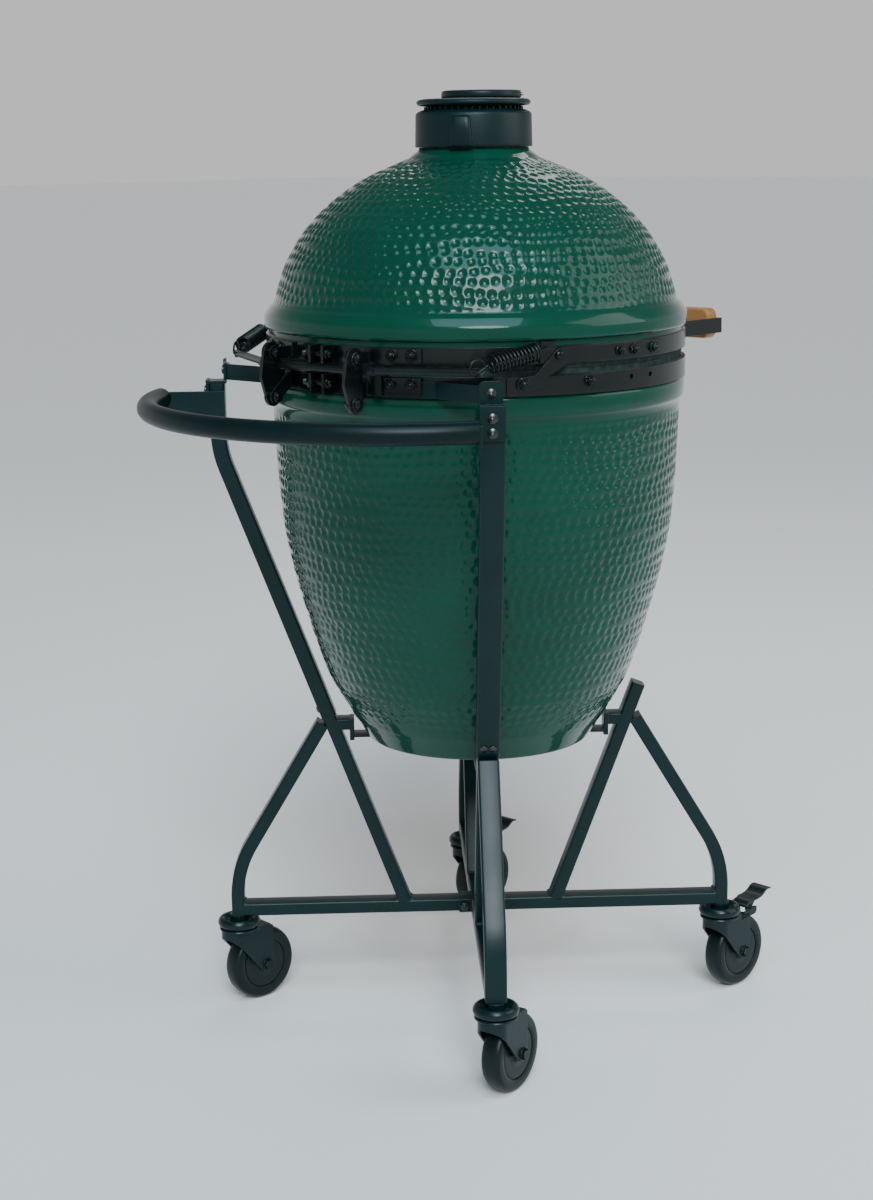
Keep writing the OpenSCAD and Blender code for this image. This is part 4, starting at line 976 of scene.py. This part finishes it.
def vents():
    z = DISC_Z
    plate = [[4, z], [64, z], [69.4, z + 0.8], [71.6, z + 2.8], [72, z + 4.6], [71.2, z + 6.4],
             [68.4, z + 8.1], [63, z + 9], [56, z + 9.2], [4, z + 9.2]]
    points, faces = lathe(plate[::-1], 144)
    piece = solid("cap_disc_cast", points, faces, None, "vent_iron", sharp=180)
    cut(piece, petals(0))
    dress(piece, "vent_disc", "vent_iron", ["cap_disc"], sharp=40)
    pin = Shape()
    pin.add(*rod_skin((*PIN, 1178), (*PIN, z + 9.5), 3, 24))
    hub = lathe([[0.4, z + 1], [3.9, z + 1], [3.9, z + 18.4], [0.4, z + 18.8]][::-1], 40)
    pin.add(moved(hub[0], VENT), hub[1])
    pin.piece("cap_disc_pins", "vent_disc", "vent_iron")
    top = [[4.4, z + 9.6], [48.6, z + 9.6], [50, z + 10.2], [50.4, z + 11.4], [50.2, z + 15.6],
           [49.6, z + 17.4], [48, z + 18.6], [45.4, z + 19.1], [4.4, z + 19.1]]
    points, faces = lathe(top[::-1], 144)
    cover = solid("cap_cover_cast", moved(points, VENT), faces, None, "vent_iron", sharp=180)
    notch = box_skin((37, -10.4, z + 11.4), (60, 10.4, z + 30))
    cut(cover, petals(36) + [(moved(notch[0], VENT @ spin(225)), notch[1])])
    dress(cover, "vent_cover", "vent_iron", ["cap_cover"], sharp=40)
    grip = Shape()
    for k in range(3):
        low = z + 12.2 + 2.5 * k
        fin = box_skin((36, -10.2, low), (52.4 - 1.6 * k, 10.2, low + 1.3))
        grip.add(moved(fin[0], VENT @ spin(225)), fin[1])
    grip.piece("cap_cover_grip", "vent_cover", "vent_iron")


def gasket():
    points, faces = lathe([[66.3, 1135.4], [69.2, 1135.4], [69.2, 1137], [66.3, 1137]], 96)
    solid("cap_gasket_ring", points, faces, "lid", "felt", ["cap_gasket"])


DIAL = make_material("dial", (0.75, 0.75, 0.72), 0.35, coat=1.0, coat_rough=0.02, vary=0.03,
                     bump=0.02, edge=0)

dome()
base()
nest()
upright("upright_left", 45)
upright("upright_right", 135)
push_handle()
for number, letter in enumerate("abcd"):
    wheel(number, letter)
    fork(number, letter, letter in "cd")
races()
pedal(2, "c")
pedal(3, "d")
bolts()
cap()
vents()
gasket()
springs()
wood_handle()
cooking_grid()
thermometer()
for node in frame["nodes"].values():
    if not node.hide_render:
        node.data.polygons.foreach_set("use_smooth", np.ones(len(node.data.polygons), bool))
        node.data.set_sharp_from_angle(angle=math.radians(32))


# ---------------------------------------------------------------- room
def area(name, at, target, size, power, colour=(1, 1, 1)):
    lamp = bpy.data.lights.new(name, "AREA")
    lamp.shape = "RECTANGLE"
    lamp.size, lamp.size_y = size
    lamp.energy = power
    lamp.color = colour
    obj = bpy.data.objects.new(name, lamp)
    SCENE.collection.objects.link(obj)
    obj.location = at
    obj.rotation_mode = "QUATERNION"
    obj.rotation_quaternion = (Vector(at) - Vector(target)).to_track_quat("Z", "Y")
    return obj


HORIZON = 0.675


def room():
    mesh = bpy.data.meshes.new("floor")
    mesh.from_pydata([(-60, -60, 0), (60, -60, 0), (60, 60, 0), (-60, 60, 0)], [], [(0, 1, 2, 3)])
    floor = bpy.data.objects.new("floor", mesh)
    SCENE.collection.objects.link(floor)
    mat = bpy.data.materials.new("floor")
    mat.use_nodes = True
    shader = mat.node_tree.nodes["Principled BSDF"]
    shader.inputs["Base Color"].default_value = (0.86, 0.86, 0.86, 1)
    shader.inputs["Roughness"].default_value = 0.85
    mesh.materials.append(mat)
    world = bpy.data.worlds.new("studio")
    world.use_nodes = True
    tree = world.node_tree
    split = tree.nodes.new("ShaderNodeSeparateXYZ")
    link(tree, tree.nodes.new("ShaderNodeTexCoord").outputs["Generated"], split.inputs["Vector"])
    fade = tree.nodes.new("ShaderNodeMapRange")
    fade.interpolation_type = "SMOOTHSTEP"
    fade.inputs["From Min"].default_value = 0.06
    fade.inputs["From Max"].default_value = 0.5
    fade.inputs["To Min"].default_value = HORIZON
    fade.inputs["To Max"].default_value = 0.17
    link(tree, split.outputs["Z"], fade.inputs["Value"])
    link(tree, fade.outputs["Result"], tree.nodes["Background"].inputs["Strength"])
    tree.nodes["Background"].inputs["Color"].default_value = (1, 1, 1, 1)
    SCENE.world = world
    flat = Vector((0.66737, -0.71534, 0)).normalized()
    right = Vector((-0.7312, -0.68216, 0)).normalized()
    centre = Vector((0, EGG_Y * 0.001, 0.95))

    def around(turn, rise, distance):
        """A point round the egg: turn to the camera's right, rise over the horizon."""
        t, e = math.radians(turn), math.radians(rise)
        out = (right * math.sin(t) - flat * math.cos(t)) * math.cos(e)
        return centre + (out + Vector((0, 0, math.sin(e)))) * distance

    lamp = bpy.data.lights.new("sun", "SUN")
    lamp.energy = 2.9
    lamp.angle = math.radians(24)
    lamp.color = (0.90, 0.97, 1.0)
    sun = bpy.data.objects.new("sun", lamp)
    SCENE.collection.objects.link(sun)
    sun.rotation_mode = "QUATERNION"
    sun.rotation_quaternion = (around(4, 36, 1) - centre).to_track_quat("Z", "Y")
    area("right", around(80, 25, 3.6), centre, (2.5, 2.7), 56)
    area("sky", around(0, 54, 3.2), centre, (2.1, 1.3), 62, (0.52, 0.83, 1.0))
    area("far", around(168, 44, 3.6), centre, (2.0, 1.2), 22)


def camera():
    forward = Vector((0.66737, -0.71534, -0.20711)).normalized()
    right = forward.cross(Vector((0, 0, 1))).normalized()
    up = right.cross(forward)
    roll = math.radians(-0.727)
    across = right * math.cos(roll) + up * math.sin(roll)
    upward = up * math.cos(roll) - right * math.sin(roll)
    data = bpy.data.cameras.new("camera")
    data.lens = 64.267
    data.sensor_width = 36
    data.clip_start, data.clip_end = 0.05, 100
    obj = bpy.data.objects.new("camera", data)
    SCENE.collection.objects.link(obj)
    turn = Matrix((across, upward, -forward)).transposed().to_4x4()
    obj.matrix_world = Matrix.Translation((-1.8449, 1.9986, 1.1384)) @ turn
    SCENE.camera = obj


room()
camera()
